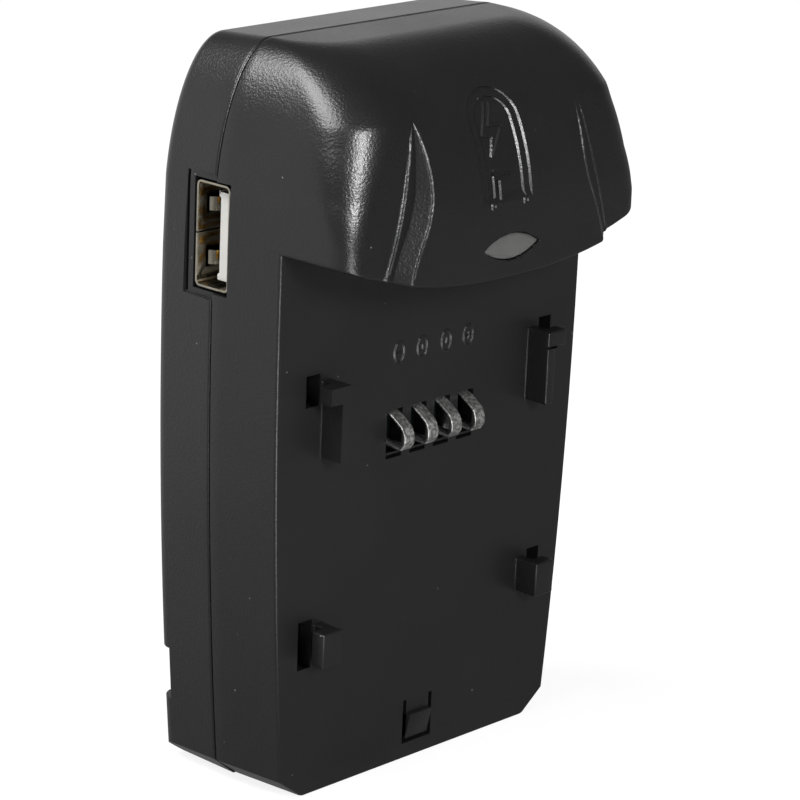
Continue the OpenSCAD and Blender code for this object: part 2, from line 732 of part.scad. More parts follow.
// Moulded carrier in front of the pocket, which holds the line contacts and the detent spring.
carrier_back = pivot_y - pocket_r - rib_wall;
carrier_front = carrier_back - 1.6;
spring_t = 0.4;
carrier_z = [pivot_z - 7, pivot_z + 7];
module contact_carrier() {
    color("#4a4a4e") difference() {
        block([-pocket_x, carrier_front, carrier_z[0]], [pocket_x, carrier_back, carrier_z[1]]);
        for (x = [-blade_pitch / 2, 0, blade_pitch / 2])
            block([x - 1.7, carrier_front - over, pivot_z - 4.2], [x + 1.7, carrier_back + over, pivot_z + 4.2]);
    }
}

// A leaf whose ends lie on the carrier and whose nose reaches in to the barrel.
module leaf(x, w, tone) {
    nose = pivot_y - barrel_r - 0.3;
    y0 = carrier_front - spring_t;
    color(tone) strip(x, w, [
        [y0, pivot_z - 6.4], [y0, pivot_z - 4.4], [nose - spring_t, pivot_z - 0.6],
        [nose - spring_t, pivot_z + 0.6], [y0, pivot_z + 4.4], [y0, pivot_z + 6.4],
        [y0 + spring_t, pivot_z + 6.4], [y0 + spring_t, pivot_z + 4.2], [nose, pivot_z + 0.8],
        [nose, pivot_z - 0.8], [y0 + spring_t, pivot_z - 4.2], [y0 + spring_t, pivot_z - 6.4]
    ]);
}
module line_contact_left() leaf(-blade_pitch / 2, 2.6, "#b9823c");
module line_contact_right() leaf(blade_pitch / 2, 2.6, "#b9823c");
module detent_spring() leaf(0, 2.6, "#8d8f92");

// A self-tapping screw with a cross recess, driven from the back.
module screw(at) {
    head_y = body_d - 4;
    color("#9a9a98") difference() {
        union() {
            bar_y(at[0], at[1], screw_r - 0.2, front_d - 6, head_y + 0.1);
            bar_y(at[0], at[1], screw_head_r, head_y, head_y + 1.5);
        }
        for (a = [0, 90]) translate([at[0], head_y + 1.5, at[1]]) rotate([0, a, 0])
            cube([2.2, 1.4, 0.5], center = true);
    }
}
module screw_upper_left() screw([-upper_screw[0], upper_screw[1]]);
module screw_upper_right() screw(upper_screw);
module screw_lower_left() screw([-lower_screw[0], lower_screw[1]]);
module screw_lower_right() screw(lower_screw);

// The origin is at the foot, in the middle of the width and of the depth.
translate([0, -origin_y, 0]) {
    front_housing();
    rear_housing();
    led_lens();
    status_led();
    main_board();
    usb_shell();
    usb_insulator();
    usb_pins();
    contact_block();
    battery_contact_1();
    battery_contact_2();
    battery_contact_3();
    battery_contact_4();
    transformer_core();
    transformer_winding();
    line_capacitor();
    output_capacitor();
    bridge_rectifier();
    control_chip();
    choke();
    fuse();
    plug_carrier();
    blade_left();
    blade_right();
    contact_carrier();
    line_contact_left();
    line_contact_right();
    detent_spring();
    screw_upper_left();
    screw_upper_right();
    screw_lower_left();
    screw_lower_right();
}
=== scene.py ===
"""Looks of a camera battery charger: finely moulded housings, contacts, outlet and studio."""

import logging
import math
from collections.abc import Callable
from dataclasses import dataclass
from enum import Enum

import bpy
from mathutils import Matrix, Vector


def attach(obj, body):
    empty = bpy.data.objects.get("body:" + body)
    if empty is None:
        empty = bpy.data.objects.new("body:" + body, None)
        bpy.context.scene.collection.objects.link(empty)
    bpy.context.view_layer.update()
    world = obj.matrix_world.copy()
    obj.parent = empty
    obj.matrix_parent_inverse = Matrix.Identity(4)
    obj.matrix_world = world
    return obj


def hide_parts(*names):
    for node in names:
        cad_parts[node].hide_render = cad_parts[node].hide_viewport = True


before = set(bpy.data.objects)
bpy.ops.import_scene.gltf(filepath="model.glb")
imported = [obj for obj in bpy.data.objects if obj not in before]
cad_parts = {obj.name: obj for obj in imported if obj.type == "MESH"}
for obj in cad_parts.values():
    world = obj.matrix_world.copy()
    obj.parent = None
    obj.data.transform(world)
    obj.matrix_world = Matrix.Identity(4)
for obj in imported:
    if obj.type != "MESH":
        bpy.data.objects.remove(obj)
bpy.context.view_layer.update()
LOG = logging.getLogger("charger")

Piece = bpy.types.Object
Ring = list[tuple[float, float, float]]
Profile = list[tuple[float, float]]
ORIGIN_Y = 4.625      # mm from the battery face back to the middle of the depth
SCREWS = ((20.0, 84.0), (21.6, 30.0))      # places of the right-hand screws, mirrored on the left


def metres(point: tuple[float, float, float]) -> Vector:
    """Turns a place in millimetres, measured from the battery face, into the frame's metres.

    Args:
        point: x across, y back from the battery face, z up from the foot.

    Returns:
        The same place in metres, measured from the middle of the depth.
    """
    return Vector((point[0], point[1] - ORIGIN_Y, point[2])) / 1000


def linear(colour: str) -> tuple[float, float, float, float]:
    """Turns an sRGB hex colour into the linear colour that shaders take.

    Args:
        colour: six hex digits, with or without a leading hash.

    Returns:
        Linear red, green, blue and an alpha of 1.
    """
    parts = [int(colour.lstrip("#")[i:i + 2], 16) / 255 for i in (0, 2, 4)]
    return tuple(c / 12.92 if c <= 0.04045 else ((c + 0.055) / 1.055) ** 2.4 for c in parts) + (1.0,)


def add(tree: bpy.types.NodeTree, kind: str, sockets: dict | None = None,
        **settings: object) -> bpy.types.Node:
    """Adds one node, with its settings, its values and its links.

    Args:
        tree: node tree that takes the node.
        kind: Blender's name for the node, without its first word.
        sockets: input name or number, with a value, or the socket or node that feeds it.
        settings: attributes of the node.

    Returns:
        The new node.
    """
    node = tree.nodes.new("ShaderNode" + kind)
    for name, value in settings.items():
        setattr(node, name, value)
    for name, value in (sockets or {}).items():
        value = value.outputs[0] if isinstance(value, bpy.types.Node) else value
        if isinstance(value, bpy.types.NodeSocket):
            tree.links.new(value, node.inputs[name])
        else:
            node.inputs[name].default_value = value
    return node


def new_material(name: str) -> bpy.types.Material:
    """Makes a node material with no node in it.

    Args:
        name: name of the material.

    Returns:
        The empty material.
    """
    material = bpy.data.materials.new(name)
    material.use_nodes = True
    material.node_tree.nodes.clear()
    return material


def smooth(a: float, b: float, v: float) -> float:
    """Eases from 0 at a to 1 at b."""
    t = min(1.0, max(0.0, (v - a) / (b - a)))
    return t * t * (3 - 2 * t)


def spread(a: float, b: float, n: int) -> list[float]:
    """Evenly spaced values from a to b in n steps."""
    return [a + (b - a) * i / n for i in range(n + 1)]


@dataclass(frozen=True)
class MouldedAbs:
    """Black ABS from a spark-eroded mould: fine pebbled grain that breaks up every highlight."""

    name: str = "black_abs_spark_eroded"
    colour: str = "#0e0e0f"
    lighter: str = "#131314"
    dust: str = "#5a5a58"
    roughness: float = 0.3
    face_roughness: float = 0.34
    grain_mm: float = 0.2        # real pits are about 0.1 mm; drawn coarser so that they show
    grain_depth_mm: float = 0.026
    dust_every_mm: float = 3.5
    specular: float = 0.42

    def build(self) -> bpy.types.Material:
        """Builds the material.

        Returns:
            The material, with a smoother, matter skin on the flat battery face.
        """
        material = new_material(self.name)
        t = material.node_tree
        place = add(t, "TexCoord").outputs["Object"]
        grain = add(t, "TexNoise", {"Vector": place, "Scale": 1000 / self.grain_mm, "Detail": 2.0,
                                    "Roughness": 0.55})
        pits = add(t, "TexVoronoi", {"Vector": place, "Scale": 1000 / (self.grain_mm * 1.6)},
                   feature="SMOOTH_F1")
        cloud = add(t, "TexNoise", {"Vector": place, "Scale": 90.0, "Detail": 3.0})
        xyz = add(t, "SeparateXYZ", {"Vector": place})
        facing = add(t, "SeparateXYZ", {"Vector": add(t, "NewGeometry").outputs["Normal"]})
        low = add(t, "MapRange", {"Value": xyz.outputs["Z"], "From Min": 0.071, "From Max": 0.066})
        front = add(t, "MapRange", {"Value": facing.outputs["Y"], "From Min": -0.9, "From Max": -0.99})
        face = add(t, "Math", {0: low, 1: front}, operation="MULTIPLY")
        rough = add(t, "MapRange", {"Value": face, "To Min": self.roughness,
                                    "To Max": self.face_roughness})
        uneven = add(t, "MapRange", {"Value": cloud, "To Min": -0.04, "To Max": 0.05})
        rough = add(t, "Math", {0: rough, 1: uneven}, operation="ADD")
        tint = add(t, "Mix", {"Factor": cloud, "A": linear(self.colour),
                              "B": linear(self.lighter)}, data_type="RGBA")
        speck = add(t, "TexVoronoi", {"Vector": place, "Scale": 1000 / self.dust_every_mm})
        speck = add(t, "MapRange", {"Value": speck, "From Min": 0.035, "From Max": 0.02})
        tint = add(t, "Mix", {"Factor": speck, "A": tint.outputs["Result"],
                              "B": linear(self.dust)}, data_type="RGBA")
        height = add(t, "Math", {0: grain, 1: pits}, operation="ADD")
        strength = add(t, "MapRange", {"Value": face, "To Min": 1.0, "To Max": 0.3})
        bump = add(t, "Bump", {"Height": height, "Strength": strength,
                               "Distance": self.grain_depth_mm / 1000})
        shader = add(t, "BsdfPrincipled", {
            "Base Color": tint.outputs["Result"], "Roughness": rough, "Normal": bump, "IOR": 1.5,
            "Specular IOR Level": self.specular})
        add(t, "OutputMaterial", {"Surface": shader})
        return material


@dataclass(frozen=True)
class WornStrip:
    """Rolled spring strip: fine grain along the strip, with wear where the battery rubs it."""

    name: str
    colour: str
    worn: str
    roughness: float
    grain_mm: float = 0.16
    patch_mm: float = 1.1
    metallic: float = 1.0

    def build(self) -> bpy.types.Material:
        """Builds the material.

        Returns:
            The finished material.
        """
        material = new_material(self.name)
        t = material.node_tree
        place = add(t, "TexCoord").outputs["Object"]
        stretched = add(t, "Mapping", {"Vector": place, "Scale": (1.0, 0.6, 0.35)})
        grain = add(t, "TexNoise", {"Vector": stretched, "Scale": 1000 / self.grain_mm, "Detail": 3.0})
        patch = add(t, "TexNoise", {"Vector": place, "Scale": 1000 / self.patch_mm, "Detail": 4.0,
                                               "Roughness": 0.65})
        mask = add(t, "MapRange", {"Value": patch, "From Min": 0.42, "From Max": 0.62})
        tint = add(t, "Mix", {"Factor": mask, "A": linear(self.colour),
                              "B": linear(self.worn)}, data_type="RGBA")
        rough = add(t, "MapRange", {"Value": patch, "To Min": self.roughness - 0.1,
                                    "To Max": self.roughness + 0.18})
        bump = add(t, "Bump", {"Height": grain, "Strength": 0.8, "Distance": 0.00002})
        shader = add(t, "BsdfPrincipled", {
            "Base Color": tint.outputs["Result"], "Metallic": self.metallic, "Roughness": rough,
            "Normal": bump})
        add(t, "OutputMaterial", {"Surface": shader})
        return material


@dataclass(frozen=True)
class MouldedResin:
    """A moulded or coated solid with a fine even skin: resins, board, cans and epoxy bodies."""

    name: str
    colour: str
    darker: str
    roughness: float = 0.45
    grain_mm: float = 0.3
    transmission: float = 0.0
    subsurface: float = 0.0

    def build(self) -> bpy.types.Material:
        """Builds the material.

        Returns:
            The finished material.
        """
        material = new_material(self.name)
        t = material.node_tree
        place = add(t, "TexCoord").outputs["Object"]
        cloud = add(t, "TexNoise", {"Vector": place, "Scale": 400.0, "Detail": 3.0})
        grain = add(t, "TexNoise", {"Vector": place, "Scale": 1000 / self.grain_mm, "Detail": 2.0})
        tint = add(t, "Mix", {"Factor": cloud, "A": linear(self.colour),
                              "B": linear(self.darker)}, data_type="RGBA")
        rough = add(t, "MapRange", {"Value": cloud, "To Min": self.roughness - 0.05,
                                    "To Max": self.roughness + 0.06})
        bump = add(t, "Bump", {"Height": grain, "Strength": 0.4, "Distance": 0.00001})
        shader = add(t, "BsdfPrincipled", {
            "Base Color": tint.outputs["Result"], "Roughness": rough, "Normal": bump, "IOR": 1.5,
            "Transmission Weight": self.transmission, "Subsurface Weight": self.subsurface,
            "Subsurface Scale": 0.001})
        add(t, "OutputMaterial", {"Surface": shader})
        return material


class Finish(Enum):
    """The charger's finishes, named for what each one really is."""

    ABS = MouldedAbs()
    LENS = MouldedResin("smoked_acrylic", "#575756", "#454544", 0.17, 0.4, 0.3, 0.0)
    NICKEL = WornStrip("worn_nickel_over_bronze", "#8a8a89", "#d6d6d4", 0.42, 0.12, 0.4)
    TIN = WornStrip("tin_plated_steel_sheet", "#a19b8d", "#aca698", 0.14, 0.3)
    PLUG = WornStrip("nickel_plated_brass", "#b5b0a4", "#cdc9be", 0.24, 0.3)
    GOLD = WornStrip("gold_flashed_bronze", "#b98b3c", "#d8b060", 0.3, 0.2)
    BRONZE = WornStrip("rolled_phosphor_bronze", "#9a6a3c", "#b98450", 0.35, 0.2)
    ZINC = WornStrip("zinc_plated_steel", "#8b8d8f", "#a6a8aa", 0.35, 0.25)
    WHITE = MouldedResin("white_nylon", "#989794", "#908f8b", 0.42)
    DARK = MouldedResin("black_polyamide", "#1c1c1d", "#232324", 0.45)
    LED = MouldedResin("cream_epoxy", "#d8d2ba", "#c9c2a6", 0.3)
    # Board colour darkened to near black: painted shade where the board shows through the contact slots.
    BOARD = MouldedResin("solder_mask_darkened_as_painted_shade", "#0e1a12", "#0b140e", 0.4)
    FERRITE = MouldedResin("sintered_ferrite", "#303033", "#3a3a3d", 0.7, 0.15)
    COIL = MouldedResin("amber_winding_tape", "#b9772e", "#a06424", 0.35)
    CAN = MouldedResin("blue_shrink_sleeve", "#25305a", "#1d2748", 0.3)
    EPOXY = MouldedResin("moulded_epoxy", "#1f1f21", "#27272a", 0.6, 0.2)
    FUSE = MouldedResin("brown_thermoset", "#6a3a22", "#5a301b", 0.4)


NODE_FINISH: dict[str, Finish] = {
    "led_lens": Finish.LENS, "status_led": Finish.LED, "main_board": Finish.BOARD,
    "usb_shell": Finish.TIN, "usb_insulator": Finish.WHITE, "usb_pins": Finish.GOLD,
    "contact_block": Finish.DARK, "transformer_core": Finish.FERRITE,
    "transformer_winding": Finish.COIL, "line_capacitor": Finish.CAN,
    "output_capacitor": Finish.CAN, "bridge_rectifier": Finish.EPOXY, "control_chip": Finish.EPOXY,
    "choke": Finish.COIL, "fuse": Finish.FUSE, "plug_carrier": Finish.DARK,
    "contact_carrier": Finish.DARK, "blade_left": Finish.PLUG, "blade_right": Finish.PLUG,
    "line_contact_left": Finish.BRONZE, "line_contact_right": Finish.BRONZE,
    "detent_spring": Finish.ZINC,
}


class Finisher:
    """Gives every piece its material, and makes each material once."""

    def __init__(self) -> None:
        """Starts with no material made."""
        self.made: dict[str, bpy.types.Material] = {}

    def material(self, finish: Finish) -> bpy.types.Material:
        """Gives a finish's material, which is made when it is first asked for.

        Args:
            finish: the finish.

        Returns:
            Its material.
        """
        if finish.name not in self.made:
            self.made[finish.name] = finish.value.build()
        return self.made[finish.name]

    def dress(self, piece: Piece, finish: Finish) -> None:
        """Puts a finish on a piece."""
        piece.data.materials.clear()
        piece.data.materials.append(self.material(finish))

    def dress_node(self, name: str) -> None:
        """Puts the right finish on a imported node's own material slots.

        Args:
            name: name of the node.
        """
        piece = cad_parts[name]
        finish = NODE_FINISH.get(name)
        if finish is None:
            others = Finish.NICKEL if "contact" in name else Finish.ABS
            finish = Finish.ZINC if name.startswith("screw") else others
        for slot in piece.material_slots:
            slot.material = self.material(finish)


def only(piece: Piece) -> None:
    """Makes a piece the one selected and active object.

    Args:
        piece: object to select.
    """
    bpy.ops.object.select_all(action="DESELECT")
    piece.select_set(True)
    bpy.context.view_layer.objects.active = piece


def edit(piece: Piece, *steps: Callable[[], object]) -> None:
    """Runs steps on a piece in edit mode, each with everything selected.

    Args:
        piece: mesh object.
        steps: what to do, in order.
    """
    only(piece)
    bpy.ops.object.mode_set(mode="EDIT")
    for step in steps:
        bpy.ops.mesh.select_all(action="SELECT")
        step()
    bpy.ops.object.mode_set(mode="OBJECT")


def face_out() -> None:
    """Turns all selected faces of a closed piece outwards."""
    bpy.ops.mesh.normals_make_consistent(inside=False)


def apply_all(piece: Piece) -> None:
    """Applies every modifier of a piece, in order.

    Args:
        piece: mesh object.
    """
    only(piece)
    for modifier in list(piece.modifiers):
        bpy.ops.object.modifier_apply(modifier=modifier.name)


def bevel(piece: Piece, width_mm: float, segments: int = 2, angle: float = 40.0) -> None:
    """Rounds a piece's sharp edges and applies it.

    Args:
        piece: mesh object.
        width_mm: width of the rounding.
        segments: steps across the rounding.
        angle: edges that turn by more than this are rounded.
    """
    rounding = piece.modifiers.new("rounding", "BEVEL")
    rounding.width = width_mm / 1000
    rounding.segments = segments
    rounding.limit_method = "ANGLE"
    rounding.angle_limit = math.radians(angle)
    rounding.harden_normals = False
    rounding.miter_outer = "MITER_ARC"
    apply_all(piece)


def shade(piece: Piece, angle: float = 35.0, weighted: bool = False) -> None:
    """Shades a piece smooth, with edges above an angle kept crisp.

    Args:
        piece: mesh object.
        angle: edges that turn by more than this stay crisp.
        weighted: whether large faces keep their own normal, and only the small ones beside them bend.
    """
    only(piece)
    bpy.ops.object.shade_smooth_by_angle(angle=math.radians(angle))
    if weighted:
        weights = piece.modifiers.new("weights", "WEIGHTED_NORMAL")
        weights.keep_sharp = True
        apply_all(piece)


def carve(piece: Piece, cutter: Piece, operation: str = "DIFFERENCE") -> None:
    """Cuts one piece by another, or joins them, and removes the other.

    Args:
        piece: object that stays.
        cutter: closed object that is used up.
        operation: the boolean modifier's operation.
    """
    cut = piece.modifiers.new("cut", "BOOLEAN")
    cut.object = cutter
    cut.operation = operation
    cut.solver = "EXACT"
    apply_all(piece)
    bpy.data.objects.remove(cutter)


def box(name: str, low: tuple[float, float, float], high: tuple[float, float, float],
        edge_mm: float = 0.0) -> Piece:
    """Adds a box between two corners, in millimetres from the battery face, with eased edges.

    Args:
        name: name of the new object.
        low: lowest corner.
        high: highest corner.
        edge_mm: width of the eased edges, or 0 for a plain cutter.

    Returns:
        The box, with its place in its mesh.
    """
    bpy.ops.object.select_all(action="DESELECT")
    bpy.ops.mesh.primitive_cube_add(size=1.0)
    piece = bpy.context.object
    piece.name = name
    size = [(h - l) / 1000 for l, h in zip(low, high)]
    middle = metres(tuple((l + h) / 2 for l, h in zip(low, high)))
    piece.data.transform(Matrix.Translation(middle) @ Matrix.Diagonal((*size, 1.0)))
    if edge_mm:
        bevel(piece, edge_mm, 3)
    return piece


def prism(name: str, x0: float, x1: float, profile: Profile, edge_mm: float = 0.0) -> Piece:
    """Extrudes a closed (y, z) profile along X.

    Args:
        name: name of the new object.
        x0: left end in millimetres.
        x1: right end in millimetres.
        profile: corners as (y, z).
        edge_mm: width of the eased edges.

    Returns:
        The closed prism.
    """
    bpy.ops.object.select_all(action="DESELECT")
    bpy.ops.mesh.primitive_circle_add(vertices=len(profile), fill_type="NGON")
    piece = bpy.context.object
    piece.name = name
    for vertex, (y, z) in zip(piece.data.vertices, profile):
        vertex.co = metres((x0, y, z))
    along = {"value": ((x1 - x0) / 1000, 0, 0)}
    edit(piece, lambda: bpy.ops.mesh.extrude_region_move(TRANSFORM_OT_translate=along), face_out)
    if edge_mm:
        bevel(piece, edge_mm, 2, 60.0)
    return piece


def loft(name: str, rings: list[Ring]) -> Piece:
    """Shapes a grid into a closed skin through a stack of rings and caps both ends.

    Args:
        name: name of the new object.
        rings: rings of equal length, in millimetres, from one end to the other.

    Returns:
        The closed skin.
    """
    count = len(rings[0])
    bpy.ops.object.select_all(action="DESELECT")
    bpy.ops.mesh.primitive_grid_add(x_subdivisions=count, y_subdivisions=len(rings) - 1)
    piece = bpy.context.object
    piece.name = name
    places: list[float] = []
    for ring in rings:
        for point in ring + ring[:1]:
            places.extend(metres(point))
    piece.data.vertices.foreach_set("co", places)
    piece.data.update()
    edit(piece, lambda: bpy.ops.mesh.remove_doubles(threshold=1e-6),
         lambda: bpy.ops.mesh.fill_holes(sides=0), face_out)
    return piece


def depth_on(line: Profile, x: float) -> float:
    """Depth of a bent line at one place.

    Args:
        line: corners as (x, y), from left to right.
        x: place across.

    Returns:
        The depth y there.
    """
    for (x0, y0), (x1, y1) in zip(line, line[1:]):
        if x <= x1:
            return y0 + (y1 - y0) * (x - x0) / (x1 - x0)
    return line[-1][1]


@dataclass
class BodyForm:
    """Outline that both housings share: bowed sides, cut bottom corners and a round top."""

    height: float = 93.6
    half_width: float = 28.0
    widest_z: float = 62.0
    side_bow: float = 3.0
    front_depth: float = 10.7
    rear_depth: float = 10.7
    wall: float = 2.0
    draft: float = 0.8
    hairline: float = 0.06       # each moulding's share of the gap on the parting line
    cut_w: float = 3.6
    cut_h: float = 2.9
    corner_w: float = 8.2
    corner_h: float = 20.0

    def side(self, z: float) -> float:
        """Half width on the parting line.

        Args:
            z: height.

        Returns:
            The half width in millimetres.
        """
        lean = self.side_bow * ((z - self.widest_z) / self.widest_z) ** 2
        rest = max(0.0, 1 - (self.height - z) / self.corner_h)
        return self.half_width - lean - self.corner_w * (1 - math.sqrt(1 - rest ** 2))

    def front_side(self, z: float, y: float) -> float:
        """Half width of the front housing at height z and depth y."""
        cut = self.cut_w * max(0.0, 1 - z / self.cut_h)
        return self.side(z) - cut - self.draft * (self.front_depth - y) / self.front_depth


@dataclass
class FrontHousing:
    """Front moulding: battery face below, hood with two almond grooves above."""

    form: BodyForm
    hood_out: float = 12.0
    lip_z: float = 65.8
    lip_rise: float = 4.6
    crown_d: float = 15.8
    crown_z: float = 72.0
    shoulder: float = 2.0
    corner_low_r: float = 3.0
    corner_high_r: float = 6.9
    groove_x: float = 13.7
    groove_top: float = 85.9
    flare: float = 0.25
    scoop: float = 0.08          # how far the groove's valley lies below its outer ridge
    edge_slope: float = 1.2      # slope from the inner edge down to the valley
    flank_slope: float = 0.65    # slope from the ridge down to the shoulder
    ridge: float = 0.85          # level of the ridge, between middle and shoulder
    edge_round: float = 0.2      # how far the rounding of the groove's edges reaches
    lip_round: float = 0.35
    seam_round: float = 0.3
    levels: int = 70
    hook_x: tuple[float, float, float] = (17.9, 19.4, 21.35)      # rib's sides and the toe's tip
    hook_out: float = 3.5
    hooks: tuple[tuple[float, float, float], ...] = ((53.6, 9.6, 2.1), (22.5, 4.5, 4.5))
    contact_pitch: float = 4.29
    slot_half: float = 1.4

    def crown(self, z: float) -> float:
        """Depth of the hood's middle: upright below, an elliptic crown above."""
        part = max(0.0, (z - self.crown_z) / (self.form.height - self.crown_z))
        return -self.hood_out + self.crown_d * (1 - math.sqrt(max(0.0, 1 - part ** 2)))

    def shoulder_depth(self, z: float) -> float:
        """How far the shoulders lie behind the middle.

        Args:
            z: height of the level.

        Returns:
            The step in millimetres, 0 above the grooves' tips.
        """
        if z >= self.groove_top:
            return 0.0
        part = max(0.0, (z - self.crown_z - 2) / (self.groove_top - self.crown_z - 2))
        return self.shoulder * (1 - part ** 2)

    def groove_edges(self, z: float) -> tuple[float, float]:
        """How far a groove's inner and outer edges lie from the middle at one level.

        Args:
            z: height of the level.

        Returns:
            The inner and the outer edge in millimetres.
        """
        seen = min(max(z, self.lip_z), self.groove_top)
        inner = self.groove_x + 3.6 * smooth(0.0, 14.0, 79 - seen)
        inner += 0.6 * max(0.0, (seen - 79) / 7) ** 2
        outer = self.groove_x + 0.8 + self.flare * (self.groove_top - seen)
        return inner, outer + 0.25 * min(1.0, (self.groove_top - seen) / 2)

    def groove_beads(self) -> list[Piece]:
        """Fine raised line along each edge of both grooves.

        Returns:
            The four lines.
        """
        beads = []
        for side in (-1, 1):
            for which in (0, 1):
                points = []
                for z in spread(67.0, 85.0, 40):
                    x = self.groove_edges(z)[which] - (0.12 if not which else 0.0)
                    y = self.crown(z) + (self.ridge * self.shoulder_depth(z) if which else 0.0)
                    points.append((side * x, y + 0.1 * smooth(83.0, 85.0, z), z + self.smile(x, z)))
                beads.append(self.bead(points, 0.2, 0.1))
        return beads

    def half_level(self, z: float, hood: bool, t: float, fine: int) -> Profile:
        """Right half of one level, from the middle to the parting line.

        Args:
            z: height of the level.
            hood: whether it belongs to the hood rather than to the battery face.
            t: how far it is moved in, as for a cavity.
            fine: how many times finer than the plainest spacing.

        Returns:
            Points as (x, y) in millimetres.
        """
        form = self.form
        mid = (self.crown(z) if hood else 0.0) + t
        side = mid + (self.shoulder_depth(z) if hood else 0.0)
        low_r = self.corner_low_r + (self.corner_high_r - self.corner_low_r) * min(
            1.0, max(0.0, (z - self.lip_z - 4) / 14))
        full = min(low_r, form.front_depth - side + t - 0.15) if hood else 0.4
        r = max(full - t, min(full, 0.3))
        w = form.front_side(z, side + r) - t
        end = w - r
        points: Profile = []
        down = self.groove_top - min(max(z, self.lip_z), self.groove_top) if hood else 0.0
        inner, outer = self.groove_edges(z)
        inner, outer = min(inner, 0.82 * end), min(outer, 0.9 * end)
        drop = self.ridge * (side - mid)
        floor = drop + self.scoop * smooth(0, 4, down)
        valley = inner + max(0.05, min(floor / self.edge_slope, 0.8 * (outer - inner)))
        flank = max(0.05, (side - mid - drop) / self.flank_slope)
        line = [(0.0, mid), (inner, mid), (valley, mid + floor), (outer, mid + drop),
                (outer + flank, side), (99.0, side)]
        ease = min(1.0, 0.75 * (outer - inner))
        columns = spread(0, inner - 0.5 * ease, 4 * fine)
        columns += [inner + s * ease for s in (-0.3, -0.2, -0.1, 0.0, 0.1, 0.2, 0.3)]
        low, high = inner + 0.3 * ease, outer - 0.36 * flank
        turn = min(max(valley, low + 0.02), high - 0.02)
        columns += spread(low, turn, fine)[1:] + spread(turn, high, 2 * fine)[1:]
        shares = (-0.18, 0.0, 0.18, 0.35, 0.5, 0.65, 0.82, 1.0, 1.18, 1.36)
        columns += [outer + s * flank for s in shares]
        columns += spread(outer + 1.36 * flank, end, 4 * fine)[1:-1]
        for x in columns:
            reach = self.edge_round * ease if abs(x - inner) < 0.31 * ease else 0.0
            if x > outer - 0.3 * flank:
                reach = min(self.edge_round, 0.35 * flank)
            shifts = spread(-reach, reach, 8) if reach and t < form.wall else [0.0]
            points.append((x, sum(depth_on(line, x + s) for s in shifts) / len(shifts)))
        points += [(end + r * math.sin(a), side + r * (1 - math.cos(a)))
                   for a in spread(0, math.pi / 2, 5 * fine)]
        last = side + r
        hollow = t >= form.wall
        edge = form.front_depth + (1.0 if hollow else -form.hairline)
        s = 0.0 if hollow else self.seam_round
        stop = edge - s
        split = max(0.6, last + 0.25 * (stop - last)) if hood else 0.6 + (t if hollow else 0.0)
        for f in spread(0, 1, fine)[1:]:
            y = last + f * (split - last)
            inset = t if hollow else t * (1 - f)
            points.append((form.front_side(z, min(y, form.front_depth)) - inset, y))
        for f in spread(0, 1, 3 * fine)[1:]:
            y = split + f * (stop - split)
            points.append((form.front_side(z, min(y, form.front_depth)) - (t if hollow else 0.0), y))
        if s:
            x = form.front_side(z, stop)
            points += [(x - s * (1 - math.cos(a)), stop + s * math.sin(a))
                       for a in spread(0, math.pi / 2, 3)[1:]]
        return points

    def smile(self, x: float, z: float) -> float:
        """How far a level rises at a distance from the middle, most at the lip."""
        rise = self.lip_rise * (abs(x) / (self.form.half_width - self.form.draft)) ** 2.4
        return rise * max(0.0, 1 - (z - self.lip_z) / 12)

    def ring(self, z: float, hood: bool, t: float, fine: int, lift: float = 0.0) -> Ring:
        """One closed ring: the left half mirrored, then the right half.

        Args:
            z: height of the level in the middle.
            hood: whether the level belongs to the hood.
            t: how far it is moved in.
            fine: fineness of the columns.
            lift: added to the height, as for a rounded lip.

        Returns:
            The ring's points in millimetres.
        """
        form = self.form
        if t >= form.wall:
            lift += t if z <= form.cut_h else 0.0
            if z >= self.lip_z:
                lift += t * (1 - 2 * (z - self.lip_z) / (form.height - self.lip_z))
        right = []
        for x, y in self.half_level(z, hood, t, fine):
            right.append((x, y, z + (self.smile(x, z) if z >= self.lip_z else 0.0) + lift))
        return [(-x, y, h) for x, y, h in reversed(right[1:])] + right

    def rings(self, t: float, fine: int) -> list[Ring]:
        """All rings from the foot to the crown.

        Args:
            t: how far they are moved in; 0 for the outside.
            fine: fineness of rows and columns.

        Returns:
            The stack of rings.
        """
        form = self.form
        stack = []
        if not t:
            for a in spread(0, math.pi / 2, 3)[:-1]:
                ring = self.ring(0.3 * (1 - math.cos(a)), False, 0.0, fine)
                shrink = 0.3 * (1 - math.sin(a))
                stack.append([(x * (1 - shrink / 25), y + shrink if y < 2 else y, z) for x, y, z in ring])
        plate = [0.3 if not t else 0.0, form.cut_h] + spread(form.cut_h, 60, 5 * fine)[1:]
        stack += [self.ring(z, False, t, fine) for z in plate]
        if not t:
            stack.append(self.ring(self.lip_z, False, t, fine, -0.4))
        stack.append(self.ring(self.lip_z, False, t, fine))
        if not t:
            for a in spread(0, math.pi / 2, 4)[:-1]:
                s = self.lip_round * (1 - math.sin(a))
                stack.append(self.ring(self.lip_z, True, s, fine, self.lip_round * (1 - math.cos(a))))
        start = self.lip_round if not t else 0.0
        count = self.levels if not t else 16
        for i in range(count + 1):
            z = self.lip_z + (form.height - self.lip_z) * math.sin(math.pi / 2 * i / count)
            stack.append(self.ring(z, True, t, fine, start * max(0.0, 1 - i / 4)))
        return stack

